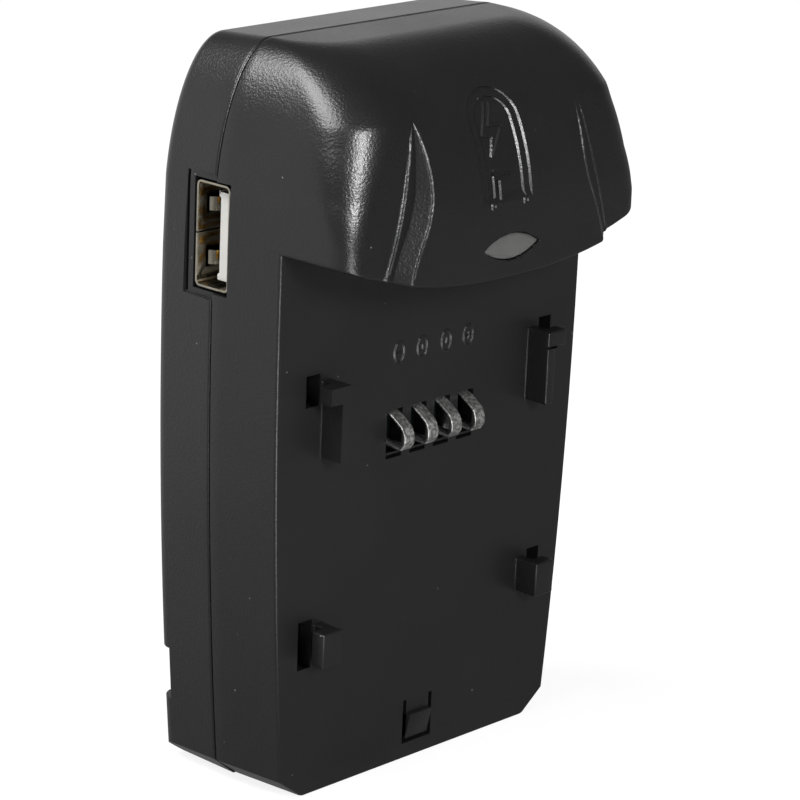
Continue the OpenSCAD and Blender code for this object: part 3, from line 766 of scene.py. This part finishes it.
    def hook(self, side: int, top: float, height: float, head: float) -> Piece:
        """Builds one battery hook: a rib with a head whose toe points outward.

        Args:
            side: -1 for the left hook, 1 for the right one.
            top: height of its top.
            height: length of the rib.
            head: length of the head.

        Returns:
            The hook, with eased edges.
        """
        x0, x1, x2 = (side * x for x in self.hook_x)
        front = -self.hook_out
        rib = box("hook", (min(x0, x1), front, top - height), (max(x0, x1), 1.0, top))
        carve(rib, box("toe", (min(x0, x2), front, top - head), (max(x0, x2), -1.5, top)), "UNION")
        edit(rib, lambda: bpy.ops.mesh.dissolve_limited(angle_limit=math.radians(1)))
        bevel(rib, 0.25, 4)
        foot = box("foot", (min(x0, x1) - 0.22, -0.16, top - height - 0.22),
                   (max(x0, x1) + 0.22, 0.8, top), 0.14)
        return merge("hook", [rib, foot])

    def arch(self, inset: float, depth: float) -> Piece:
        """Cutter for one step of the sunk arch on the hood, with sloping flanks.

        Args:
            inset: how far this step lies inside the arch's outline.
            depth: how far it is sunk below the hood.

        Returns:
            The closed cutter, which follows the crown.
        """
        middle, spring_z, top, half, run = -0.87, 84.8, 88.3 - inset, 4.43 - inset, 1.5
        rings = []
        levels = spread(75.0, 76.6, 5) + spread(76.6, spring_z, 6)[1:] + [
            spring_z + (top - spring_z) * math.sin(a) for a in spread(0, math.pi / 2, 22)[1:]]
        for z in levels:
            rise = max(0.0, (z - spring_z) / (top - spring_z))
            w = half * math.sqrt(max(0.0, 1 - rise ** 2))
            deep = (depth + 0.03) * smooth(75.0, 76.4, z) - 0.03
            y, wide, back = self.crown(z), w + 0.5 * run, max(0.03, w - run * deep)
            rings.append([(middle - wide, y - 0.5, z), (middle + wide, y - 0.5, z),
                          (middle + back, y + deep, z), (middle - back, y + deep, z)])
        return loft("arch", rings)

    def rib(self, path: Profile, base: float, height: float, hood: bool,
            sunk: float = 0.0) -> Piece:
        """Raised rib with sloping flanks along a path on the moulding's face.

        Args:
            path: middle line as (x, z).
            base: half width at its foot.
            height: how far it stands out.
            hood: whether it lies on the hood rather than on the battery face.
            sunk: how far the surface that carries it is sunk.

        Returns:
            The closed rib.
        """
        points = [(x, (self.crown(z) if hood else 0.0) + sunk, z) for x, z in path]
        return self.bead(points, base, height)

    def bead(self, points: Ring, base: float, height: float) -> Piece:
        """Raised line of triangular section through points on the moulding's face.

        Args:
            points: middle line on the surface.
            base: half width at its foot.
            height: how far it stands out.

        Returns:
            The closed bead.
        """
        rings = []
        for i, (x, y, z) in enumerate(points):
            (ax, ay, az), (bx, by, bz) = points[max(0, i - 1)], points[min(len(points) - 1, i + 1)]
            size = math.hypot(bx - ax, bz - az)
            nx, nz = (az - bz) / size, (bx - ax) / size
            lean = (by - ay) / (bz - az) if abs(bz - az) > 0.3 * size else 0.0
            rings.append([
                (x + side * base * nx, y + side * base * nz * lean - (height * out if out >= 0 else out),
                 z + side * base * nz)
                for side, out in ((-1, -0.2), (-1, 0.0), (0.0, 1.0), (1, 0.0), (1, -0.2))])
        return loft("bead", rings)

    def hood_marks(self) -> list[Piece]:
        """Plain bolt in the arch and two studs at its feet.

        Returns:
            The raised lines.
        """
        lines = [[(-1.44, 86.6), (-3.47, 83.05), (-1.87, 82.85), (-2.73, 80.6)],
                 [(-0.48, 86.5), (-2.0, 84.0), (0.2, 83.9), (-2.6, 80.5)],
                 [(-2.95, 75.9), (-2.95, 78.5), (0.0, 78.4)], [(-2.0, 75.6), (-2.0, 77.9)]]
        ribs = []
        for line in lines:
            for (ax, az), (bx, bz) in zip(line, line[1:]):
                path = [(ax + f * (bx - ax), az + f * (bz - az)) for f in (0, 0.25, 0.5, 0.75, 1)]
                ribs.append(self.rib(path, 0.24, 0.16, True, 0.35 * smooth(75.0, 76.4, min(az, bz))))
        for x in (-3.4, 2.35):
            turn = [(x + 0.35 * math.cos(a), 74.9 + 0.4 * math.sin(a)) for a in spread(-0.4, 5.2, 10)]
            ribs.append(self.rib(turn, 0.2, 0.13, True))
        return ribs

    def face_marks(self) -> list[Piece]:
        """Raised oval and plain polarity sign over each battery contact.

        Returns:
            The raised lines.
        """
        ribs = []
        signs = [[[(-0.4, 0), (0.4, 0)]], [[(0, -0.35), (0, 0.35)]], [[(0, -0.35), (0, 0.35)]],
                 [[(-0.4, 0), (0.4, 0)], [(0, -0.45), (0, 0.45)]]]
        for x, strokes in zip((-6.06, -1.93, 2.42, 6.47), signs):
            oval = [(x + 0.85 * math.cos(a), 54.7 + 1.3 * math.sin(a)) for a in spread(2.2, 8.3, 22)]
            ribs.append(self.rib(oval, 0.25, 0.13, False))
            for (ax, az), (bx, bz) in strokes:
                line = [(x + ax + f * (bx - ax), 54.7 + az + f * (bz - az)) for f in (0, 0.5, 1)]
                ribs.append(self.rib(line, 0.22, 0.12, False))
        return ribs

    def openings(self) -> list[Piece]:
        """Cutters for the core holes, contact slots, tongue slits, outlet and lens.

        Returns:
            The closed cutters.
        """
        cutters = []
        for side in (-1, 1):
            for top, height in ((54.6, 4.0), (23.3, 6.3)):
                ends = sorted((side * 22.15, side * 19.85))
                cutters.append(box("core_hole", (ends[0], -1, top - height), (ends[1], 3, top)))
            ends = sorted((side * 2.05, side * 2.65))
            cutters.append(box("slit", (ends[0], -1, 2.1), (ends[1], 3, 8.0)))
        cutters.append(box("slit", (-2.06, -1, 2.1), (2.06, 3, 2.7)))
        for i in range(4):
            x0, x1 = ((i - 1.5) * self.contact_pitch + s * self.slot_half for s in (-1, 1))
            stepped = [(-1, 42.05), (-1, 47.5), (0.8, 47.5), (0.8, 48.5), (3.1, 48.5), (3.1, 42.05)]
            cutters.append(prism("slot", x0, x1, stepped))
            cutters.append(box("foot_slot", (x0, -1, 41.25), (x1, 3, 41.75)))
        return cutters + [outlet_cutter(), almond("lens_hole", 10.0, 3.3, -13.0, -8.0)]

    def build(self) -> Piece:
        """Builds the whole front moulding.

        Returns:
            The moulding, closed and with eased openings.
        """
        piece = loft("front_moulding", self.rings(0.0, 2))
        cavity = loft("front_cavity", self.rings(self.form.wall, 1))
        for post in screw_posts(-13.0, 13.0):
            carve(cavity, post)
        carve(piece, cavity)
        for cutter in self.openings():
            carve(piece, cutter)
        wedge = [(1, 6.15), (-0.7, 6.15), (-0.7, 5.85), (0, 2.9), (1, 2.7)]
        catch = prism("catch", -2.05, 2.05, wedge, 0.12)
        extras = [self.hook(side, *sizes) for side in (-1, 1) for sizes in self.hooks]
        extras += [catch] + self.hood_marks() + self.face_marks() + self.groove_beads()
        bevel(piece, 0.12, 3, 70.0)
        carve(piece, self.arch(0.0, 0.18))
        carve(piece, self.arch(1.0, 0.36))
        only(piece)
        for extra in extras:
            extra.select_set(True)
        bpy.ops.object.join()
        shade(piece, 24.0)
        return piece


@dataclass
class RearHousing:
    """Rear moulding: drafted tray with round back edges, plug pocket and finger notch."""

    form: BodyForm
    back_r: float = 2.5
    pivot_y: float = 17.225
    pivot_z: float = 34.5
    seam_round: float = 0.3
    pocket_half: float = 11.15
    pocket_r: float = 4.3
    pocket_wall: float = 1.2
    blade_x: float = 6.35
    behind: float = 22.4         # a plane behind the whole charger, where cutters end

    def outline(self, t: float, fine: int) -> Profile:
        """Outline of the parting line, moved in by t.

        Args:
            t: how far it is moved in.
            fine: fineness of the steps.

        Returns:
            Points as (x, z), left side up and right side down.
        """
        form = self.form
        heights = [0.0] + spread(2.9, 68, 10 * fine)
        heights += [form.height - form.corner_h * (1 - math.sin(math.radians(a)))
                    for a in spread(10, 90, 12 * fine)]
        heights[-1] = form.height
        middle = form.height / 2
        half = [(form.side(z) * (1 - t / form.half_width), middle + (z - middle) * (1 - t / middle))
                for z in heights]
        top = [(half[-1][0] * f, half[-1][1]) for f in (0.5, 0.0, -0.5)]
        return [(-x, z) for x, z in half + top] + [(x, z) for x, z in reversed(half)]

    def rings(self, t: float, fine: int) -> list[Ring]:
        """Rings from the parting line to the back.

        Args:
            t: wall, or 0 for the outside.
            fine: fineness.

        Returns:
            The stack of rings.
        """
        form = self.form
        depth = form.front_depth + form.rear_depth
        r = max(0.6, self.back_r - t)
        flat = depth - t - r
        slope = form.draft / form.rear_depth
        steps = []
        if t:
            steps.append((form.front_depth - 1.0, t))
        else:
            s, first = self.seam_round, form.front_depth + form.hairline
            steps += [(first, s), (first + s * 0.13, s * 0.5), (first + s * 0.5, s * 0.13),
                      (first + s, 0.0)]
        start = steps[-1][0]
        steps += [(y, t + slope * (y - form.front_depth)) for y in spread(start, flat, 3 * fine)[1:-1]]
        steps += [(flat + r * math.sin(a), t + slope * (flat - form.front_depth) + r * (1 - math.cos(a)))
                  for a in spread(0, math.pi / 2, 5 * fine)]
        return [[(x, y, z) for x, z in self.outline(inset, fine)] for y, inset in steps]

    def build(self) -> Piece:
        """Builds the whole rear moulding.

        Returns:
            The moulding, closed and with eased openings.
        """
        form = self.form
        piece = loft("rear_moulding", self.rings(0.0, 2))
        cavity = loft("rear_cavity", self.rings(form.wall, 1))
        px, pr, wall, behind = self.pocket_half, self.pocket_r, self.pocket_wall, self.behind
        y, z = self.pivot_y, self.pivot_z
        blocks = [box("notch_wall", (-29, 17.0, 6.5), (11.35, behind, 17.4)),
                  box("pocket_wall", (-px - wall, y - pr - wall, z - pr - wall),
                      (px + wall, behind, z + pr + wall))]
        for x in (-self.blade_x, self.blade_x):
            blocks.append(box("channel_wall", (x - 2.55, y - 4.775, 8.3), (x + 2.55, behind, z)))
        for cutter in blocks + screw_posts(9.0, behind):
            carve(cavity, cutter)
        carve(piece, cavity)
        carve(piece, box("land", (-17, 10.7, 0), (17, 16.7, 2)), "UNION")
        cutters = [box("pocket", (-px, y - pr, z - pr), (px, behind, z + pr)),
                   box("notch", (-29, 19.0, 8.5), (9.35, behind, 15.4)), outlet_cutter()]
        w = form.side(form.cut_h)
        outline = [(w - 4.6, -1.0), (w - 3.6, 0.0), (w, 2.9), (w + 2, 4.5), (w + 2, -1.0)]
        for side in (-1, 1):
            x = side * self.blade_x
            cutters.append(box("channel", (x - 1.35, y - 3.575, 9.5), (x + 1.35, 22.5, z)))
            cutters.append(loft("corner", [[(side * cx, end, cz) for cx, cz in outline]
                                           for end in (9.7, behind)]))
            for sx, sz in SCREWS:
                cutters.append(bar("screw_hole", side * sx, sz, 1.2, 9.7, behind))
                cutters.append(bar("head_hole", side * sx, sz, 2.2, 17.4, behind))
        for cutter in cutters:
            carve(piece, cutter)
        bevel(piece, 0.12, 2, 55.0)
        shade(piece, 40.0, True)
        return piece


def bar(name: str, x: float, z: float, radius: float, y0: float, y1: float) -> Piece:
    """Adds a round bar along Y.

    Args:
        name: name of the new object.
        x: place across.
        z: height.
        radius: in millimetres.
        y0: front end.
        y1: rear end.

    Returns:
        The bar, with its place in its mesh.
    """
    bpy.ops.object.select_all(action="DESELECT")
    bpy.ops.mesh.primitive_cylinder_add(vertices=48, radius=radius / 1000, depth=(y1 - y0) / 1000)
    piece = bpy.context.object
    piece.name = name
    turn = Matrix.Rotation(math.radians(90), 4, "X")
    piece.data.transform(Matrix.Translation(metres((x, (y0 + y1) / 2, z))) @ turn)
    return piece


def screw_posts(y0: float, y1: float) -> list[Piece]:
    """Bars where the four screw bosses stand."""
    return [bar("post", side * x, z, 2.6, y0, y1) for side in (-1, 1) for x, z in SCREWS]


def outlet_cutter() -> Piece:
    """Cutter for the outlet's opening, with a shallow rebate and a groove beside it.

    Returns:
        The closed cutter.
    """
    cutter = box("outlet", (-30, 8.2, 63.5), (-20.3, 14.5, 77.2))
    carve(cutter, box("rebate", (-30, 10.7, 62.7), (-27.39, 15.9, 78.0)), "UNION")
    carve(cutter, box("groove", (-30, 15.3, 62.9), (-26.9, 15.8, 77.8)), "UNION")
    return cutter


def almond(name: str, width: float, height: float, y0: float, y1: float,
           dome: float = 0.0) -> Piece:
    """Builds an almond-shaped plug along Y between two arcs.

    Args:
        name: name of the new object.
        width: from tip to tip.
        height: across the middle.
        y0: front end.
        y1: rear end.
        dome: how far the front crowns ahead of its rim.

    Returns:
        The closed plug.
    """
    r = (width ** 2 + height ** 2) / (4 * height)
    half = math.asin(width / 2 / r)
    arc = [(r * math.sin(a), r * math.cos(a) - (r - height / 2)) for a in spread(-half, half, 24)[:-1]]
    rim = arc + [(-x, -z) for x, z in arc]
    rings = [[(x, y1, 69.6 + z) for x, z in rim]]
    for a in (spread(0, math.pi / 2, 8)[:-1] if dome else [0.0]):
        size, rise = math.cos(a), dome * math.sin(a)
        rings.append([(x * size, y0 + dome - rise, 69.6 + z * size) for x, z in rim])
    return loft(name, rings)


def rounded(low: tuple[float, float], high: tuple[float, float], r: float, steps: int = 5) -> Profile:
    """Outline of a rectangle with round corners.

    Args:
        low: lowest corner as (y, z).
        high: highest corner as (y, z).
        r: radius of the corners.
        steps: steps round each corner.

    Returns:
        The closed outline as (y, z).
    """
    corners = [(high[0] - r, high[1] - r, 0), (low[0] + r, high[1] - r, 90),
               (low[0] + r, low[1] + r, 180), (high[0] - r, low[1] + r, 270)]
    return [(y + r * math.cos(math.radians(turn + a)), z + r * math.sin(math.radians(turn + a)))
            for y, z, turn in corners for a in spread(0, 90, steps)]


def leaf(name: str, path: Profile, thick: float, middle: float, width: float,
         along_x: bool) -> Piece:
    """Bends a spring leaf of even thickness along a path.

    Args:
        name: name of the new object.
        path: middle line, as (x, y) for a leaf whose width is upright, or (y, z) for one that is level.
        thick: thickness of the strip.
        middle: middle of the width, as a height or as a place across.
        width: width of the strip.
        along_x: whether the width runs along X, with a path in (y, z).

    Returns:
        The closed leaf, with eased edges.
    """
    rings = []
    h, w, e = thick / 2, width / 2, min(0.07, thick * 0.3)
    section = [(-h, -w + e), (-h, w - e), (-h + e, w), (h - e, w),
               (h, w - e), (h, -w + e), (h - e, -w), (-h + e, -w)]
    for i, (a, b) in enumerate(path):
        (a0, b0), (a1, b1) = path[max(0, i - 1)], path[min(len(path) - 1, i + 1)]
        size = math.hypot(a1 - a0, b1 - b0)
        na, nb = (b0 - b1) / size, (a1 - a0) / size
        ring = []
        for out, side in section:
            p, q = a + out * na, b + out * nb
            ring.append((middle + side, p, q) if along_x else (p, q, middle + side))
        rings.append(ring)
    return loft(name, rings)


def flowing(points: Profile, steps: int) -> Profile:
    """Smooth cubic line through points.

    Args:
        points: points that it passes through.
        steps: steps between each pair of them.

    Returns:
        The finer line.
    """
    line = []
    for i in range(len(points) - 1):
        near = [points[min(max(k, 0), len(points) - 1)] for k in range(i - 1, i + 3)]
        for t in spread(0, 1, steps)[:-1]:
            line.append(tuple(
                0.5 * (2 * b + (c - a) * t + (2 * a - 5 * b + 4 * c - d) * t ** 2
                       + (3 * b - a - 3 * c + d) * t ** 3) for a, b, c, d in zip(*near)))
    return line + [points[-1]]


def merge(name: str, pieces: list[Piece], angle: float = 35.0) -> Piece:
    """Joins separate solids into one object, shaded smooth with crisp edges.

    Args:
        name: name of the joined piece.
        pieces: solids to join.
        angle: edges that turn by more than this stay crisp.

    Returns:
        The joined piece.
    """
    only(pieces[0])
    for piece in pieces[1:]:
        piece.select_set(True)
    bpy.ops.object.join()
    pieces[0].name = name
    shade(pieces[0], angle)
    return pieces[0]


@dataclass
class Outlet:
    """Charging outlet: folded shell with two springs, white tongue and four gold pins."""

    mouth: float = 27.346
    length: float = 14.0
    width: float = 13.1
    height: float = 5.7
    sheet: float = 0.3
    y0: float = 8.5
    z0: float = 63.8
    pin_rows: tuple[float, ...] = (-3.5, -1.0, 1.0, 3.5)

    def shell(self) -> Piece:
        """Folded steel shell with its joint, windows and leaf springs.

        Returns:
            The shell.
        """
        x0, x1, t = -self.mouth, self.length - self.mouth, self.sheet
        y1, z1, middle = self.y0 + self.height, self.z0 + self.width, self.z0 + self.width / 2
        piece = prism("outlet_shell", x0, x1, rounded((self.y0, self.z0), (y1, z1), 0.75))
        hollow = rounded((self.y0 + t, self.z0 + t), (y1 - t, z1 - t), 0.45)
        carve(piece, prism("hollow", x0 - 1, x1 - t, hollow))
        leaves = []
        for side in (-1, 1):
            z = middle + side * 3.3
            carve(piece, box("window", (x0 + 1.5, y1 - 2 * t, z - 1.15),
                             (x0 + 6.6, y1 + 1, z + 1.15), 0.25))
            bend = flowing([(x0 + 6.8, y1 - 0.15), (x0 + 5.4, y1 - 0.3), (x0 + 4.0, y1 - 0.95),
                            (x0 + 3.0, y1 - 1.2), (x0 + 2.3, y1 - 0.95), (x0 + 1.8, y1 - 0.4)], 5)
            leaves.append(leaf("spring", bend, 0.22, z, 1.8, False))
        carve(piece, box("joint", (x0 - 1, y1 - 2 * t, middle - 0.07), (x0 + 5, y1 + 1, middle + 0.07)))
        bevel(piece, 0.06, 2, 50.0)
        return merge("outlet_shell", [piece] + leaves)

    def tongue(self) -> Piece:
        """White tongue with its thicker ends, on the block that closes the shell.

        Returns:
            The tongue and its block.
        """
        x0, z0 = -self.mouth, self.z0 + self.width / 2
        y0, y1 = self.y0 + self.sheet + 0.5, self.y0 + self.sheet + 2.35
        piece = box("outlet_tongue", (x0 + 1, y0, z0 - 5.5), (x0 + self.length - 3, y1, z0 + 5.5))
        for side in (-1, 1):
            ends = sorted((z0 + side * 5.5, z0 + side * 4.7))
            carve(piece, box("end", (x0 + 1, y0 + 0.3, ends[0]), (x0 + 9, y1 + 0.3, ends[1])), "UNION")
        for z in self.pin_rows:
            carve(piece, box("bed", (x0 + 1.6, y1 - 0.4, z0 + z - 0.55),
                             (x0 + self.length, y1 + 0.5, z0 + z + 0.55)))
        back = box("back", (x0 + self.length - 4, self.y0 + self.sheet, self.z0 + self.sheet),
                   (x0 + self.length - self.sheet, self.y0 + self.height - self.sheet,
                    self.z0 + self.width - self.sheet))
        carve(piece, back, "UNION")
        bevel(piece, 0.2, 3, 50.0)
        shade(piece)
        return piece

    def pins(self) -> Piece:
        """Four gold pins, each bowed where a plug's contact rubs it.

        Returns:
            The pins as one piece.
        """
        x0, z0, y = -self.mouth, self.z0 + self.width / 2, self.y0 + self.sheet + 2.1
        bars = []
        for z in self.pin_rows:
            bow = flowing([(x0 + self.length - 0.5, y), (x0 + 6, y), (x0 + 4.4, y + 0.35),
                           (x0 + 3.2, y + 0.45), (x0 + 2.2, y + 0.1), (x0 + 1.8, y - 0.05)], 4)
            bars.append(leaf("pin", bow, 0.3, z0 + z, 1.0, False))
        return merge("outlet_pins", bars)


@dataclass
class BatteryContacts:
    """Row of sprung strips, each bent into a nose that the battery's pad rides on."""

    pitch: float = 4.29
    width: float = 1.8
    thick: float = 0.3
    axis: tuple[float, float] = (4.205, 56.5)
    curl_r: float = 0.6
    curl_thick: float = 0.2
    line: tuple[tuple[float, float], ...] = (
        (3.655, 56.5), (2.7, 50.9), (2.5, 48.9), (2.1, 47.85), (0.6, 47.15), (-0.1, 46.85), (-1.9, 45.7),
        (-2.4, 44.9), (-2.55, 44.2), (-2.45, 43.6), (-2.05, 43.1), (-1.45, 42.9), (2.9, 43.25))

    def build(self, index: int) -> Piece:
        """Builds one strip, with its curl round the block's pin.

        Args:
            index: number of the strip from the left, from 0.

        Returns:
            The strip.
        """
        x = (index - 1.5) * self.pitch
        strip = leaf("strip", flowing(list(self.line), 5), self.thick, x, self.width, True)
        ring = [(self.axis[0] + self.curl_r * math.cos(a), self.axis[1] + self.curl_r * math.sin(a))
                for a in spread(math.pi, 2.9 * math.pi, 30)]
        curl = leaf("curl", ring, self.curl_thick, x, self.width, True)
        return merge(f"contact_strip_{index + 1}", [strip, curl])


def indicator_lens() -> Piece:
    """Domed almond lens with the light pipe behind it.

    Returns:
        The lens.
    """
    dome = almond("dome", 9.8, 3.1, -12.15, -9.6, 0.4)
    pipe = box("pipe", (-2.4, -9.9, 68.6), (2.4, 4.3, 70.6), 0.1)
    return merge("indicator_lens", [dome, pipe])


@dataclass
class Studio:
    """Camera fitted to the photographed view, pale floor and soft lights."""

    lens_mm: float = 156.5
    place: tuple[float, float, float] = (-306.175, -276.871, 173.160)
    forward: tuple[float, float, float] = (0.70349, 0.64807, -0.29175)
    right: tuple[float, float, float] = (0.68593, -0.72656, 0.04004)
    fill: float = 0.35           # light from all round, as against 1 for the white that the camera sees
    room: float = 0.1            # what gloss mirrors of the dark room in front and above
    dark_floor: float = 0.21     # what gloss mirrors of the floor in front and behind
    pale_floor: float = 0.78     # and on the left
    streak: float = 10.0         # the front softbox as the glossy floor mirrors it

    def camera(self) -> None:
        """Adds the camera and makes it the scene's."""
        data = bpy.data.cameras.new("view")
        data.lens = self.lens_mm
        data.sensor_width = 36.0
        data.sensor_fit = "HORIZONTAL"
        data.clip_start = 0.01
        ahead = Vector(self.forward).normalized()
        across = Vector(self.right)
        across = (across - ahead * across.dot(ahead)).normalized()
        up = across.cross(ahead)
        turn = Matrix((across, up, -ahead)).transposed().to_4x4()
        camera = bpy.data.objects.new("view", data)
        camera.matrix_world = Matrix.Translation(metres(self.place)) @ turn
        bpy.context.scene.collection.objects.link(camera)
        bpy.context.scene.camera = camera

    def softbox(self, name: str, azimuth: float, elevation: float, distance: float,
                size: tuple[float, float], power: float, shape: str = "RECTANGLE") -> None:
        """Adds one softbox that faces the charger.

        Args:
            name: name of the lamp.
            azimuth: degrees from the battery face's side (-Y) towards the left (-X).
            elevation: degrees above the horizon.
            distance: metres from the charger.
            size: width and height in metres.
            power: watts.
            shape: outline of the lamp.
        """
        data = bpy.data.lights.new(name, "AREA")
        data.shape = shape
        data.size, data.size_y = size
        data.energy = power
        lamp = bpy.data.objects.new(name, data)
        a, e = math.radians(azimuth), math.radians(elevation)
        way = Vector((-math.sin(a) * math.cos(e), -math.cos(a) * math.cos(e), math.sin(e)))
        centre = Vector((0, 0, 0.06))
        lamp.location = centre + way * distance
        lamp.rotation_euler = (-way).to_track_quat("-Z", "Y").to_euler()
        bpy.context.scene.collection.objects.link(lamp)

    def surroundings(self) -> None:
        """Makes the white surroundings, which gloss and glass mirror as a dark room."""
        world = bpy.data.worlds.new("studio")
        bpy.context.scene.world = world
        world.use_nodes = True
        t = world.node_tree
        t.nodes.clear()
        path = add(t, "LightPath")
        seen = add(t, "Math", {0: path.outputs["Is Glossy Ray"],
                               1: path.outputs["Is Transmission Ray"]}, operation="MAXIMUM")
        way = add(t, "SeparateXYZ", {"Vector": add(t, "TexCoord").outputs["Generated"]})
        behind = add(t, "MapRange", {"Value": way.outputs["Y"], "From Min": 0.05, "From Max": 0.5},
                     interpolation_type="SMOOTHSTEP")
        low = add(t, "MapRange", {"Value": way.outputs["Z"], "From Min": 0.45, "From Max": 0.2},
                  interpolation_type="SMOOTHSTEP")
        sweep = add(t, "Math", {0: behind, 1: low}, operation="MULTIPLY")
        mirrored = add(t, "MapRange", {"Value": sweep, "To Min": self.room, "To Max": 0.85})
        level = add(t, "Mix", {"Factor": seen, "A": self.fill, "B": mirrored})
        level = add(t, "Mix", {"Factor": path.outputs["Is Camera Ray"], "A": level, "B": 1.0})
        sky = add(t, "Background", {"Color": (1, 1, 1, 1), "Strength": level})
        add(t, "OutputWorld", {"Surface": sky})

    def floor(self) -> None:
        """Makes the white floor, which gloss mirrors dark in front and pale on the left."""
        bpy.ops.object.select_all(action="DESELECT")
        bpy.ops.mesh.primitive_plane_add(size=6.0, location=(0, 0, 0))
        floor = bpy.context.object
        floor.name = "floor"
        material = new_material("white_paper_sweep")
        m = material.node_tree
        path = add(m, "LightPath")
        mirrored = add(m, "Math", {0: path.outputs["Is Glossy Ray"],
                                   1: path.outputs["Is Transmission Ray"]}, operation="MAXIMUM")
        spot = add(m, "SeparateXYZ", {"Vector": add(m, "TexCoord").outputs["Object"]})
        across = add(m, "Math", {0: spot.outputs["Y"], 1: spot.outputs["X"]}, operation="SUBTRACT")
        reach = add(m, "MapRange", {"Value": across, "From Min": 0.0, "From Max": 0.3,
                                    "To Min": self.dark_floor, "To Max": self.pale_floor})
        aside = add(m, "Math", {0: spot.outputs["Y"], 1: -0.34}, operation="MULTIPLY")
        aside = add(m, "Math", {0: spot.outputs["X"], 1: 0.94, 2: aside}, operation="MULTIPLY_ADD")
        aside = add(m, "Math", {0: aside}, operation="ABSOLUTE")
        streak = add(m, "MapRange", {"Value": aside, "From Min": 0.05, "From Max": 0.01,
                                     "To Max": self.streak}, interpolation_type="SMOOTHSTEP")
        ahead = add(m, "MapRange", {"Value": spot.outputs["Y"], "From Min": -0.07, "From Max": -0.11})
        sheen = add(m, "Math", {0: streak, 1: ahead, 2: reach}, operation="MULTIPLY_ADD")
        strength = add(m, "Mix", {"Factor": mirrored, "A": 1.0, "B": sheen})
        held = add(m, "Math", {0: path.outputs["Is Camera Ray"], 1: 0.86}, operation="MULTIPLY")
        share = add(m, "Math", {0: held, 1: mirrored}, operation="MAXIMUM")
        paper = add(m, "BsdfDiffuse", {"Color": linear("#f4f4f4")})
        glow = add(m, "Emission", {"Color": (1, 1, 1, 1), "Strength": strength})
        mix = add(m, "MixShader", {0: share, 1: paper, 2: glow})
        add(m, "OutputMaterial", {"Surface": mix})
        floor.data.materials.append(material)

    def build(self) -> None:
        """Sets up camera, floor, surroundings and lamps."""
        bpy.context.scene.view_settings.view_transform = "Standard"
        self.camera()
        self.surroundings()
        self.floor()
        self.softbox("overhead", 112, 51, 0.9, (0.85, 0.42), 17.5)
        self.softbox("front", 18, 25, 0.9, (0.17, 0.26), 9.5, "ELLIPSE")
        self.softbox("front_low", 23, 4, 0.9, (0.08, 0.4), 0.75)
        LOG.info("studio: camera, floor and lamps")


def install(piece: Piece, finisher: Finisher, finish: Finish, body: str,
            node: str | None = None) -> None:
    """Dresses a piece, hangs it on its body and reports it.

    Args:
        piece: finished mesh.
        finisher: keeper of the materials.
        finish: the piece's finish.
        body: body that it moves with.
        node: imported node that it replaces, if any.
    """
    finisher.dress(piece, finish)
    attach(piece, body)
    if node:
        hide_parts(node)
    LOG.info("%s: %d faces, %s", piece.name, len(piece.data.polygons), finish.value.name)


def main() -> None:
    """Builds the charger's looks piece by piece."""
    logging.basicConfig(level=logging.INFO)
    finisher = Finisher()
    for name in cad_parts:
        finisher.dress_node(name)
    form = BodyForm()
    front = FrontHousing(form).build()
    install(front, finisher, Finish.ABS, "charger", "front_housing")
    rear = RearHousing(form).build()
    install(rear, finisher, Finish.ABS, "charger", "rear_housing")
    install(indicator_lens(), finisher, Finish.LENS, "charger", "led_lens")
    outlet = Outlet()
    install(outlet.shell(), finisher, Finish.TIN, "charger", "usb_shell")
    install(outlet.tongue(), finisher, Finish.WHITE, "charger", "usb_insulator")
    install(outlet.pins(), finisher, Finish.GOLD, "charger", "usb_pins")
    contacts = BatteryContacts()
    for index in range(4):
        strip = contacts.build(index)
        install(strip, finisher, Finish.NICKEL, f"contact_{index + 1}",
                f"battery_contact_{index + 1}")
    Studio().build()


if __name__ == "__main__":
    main()
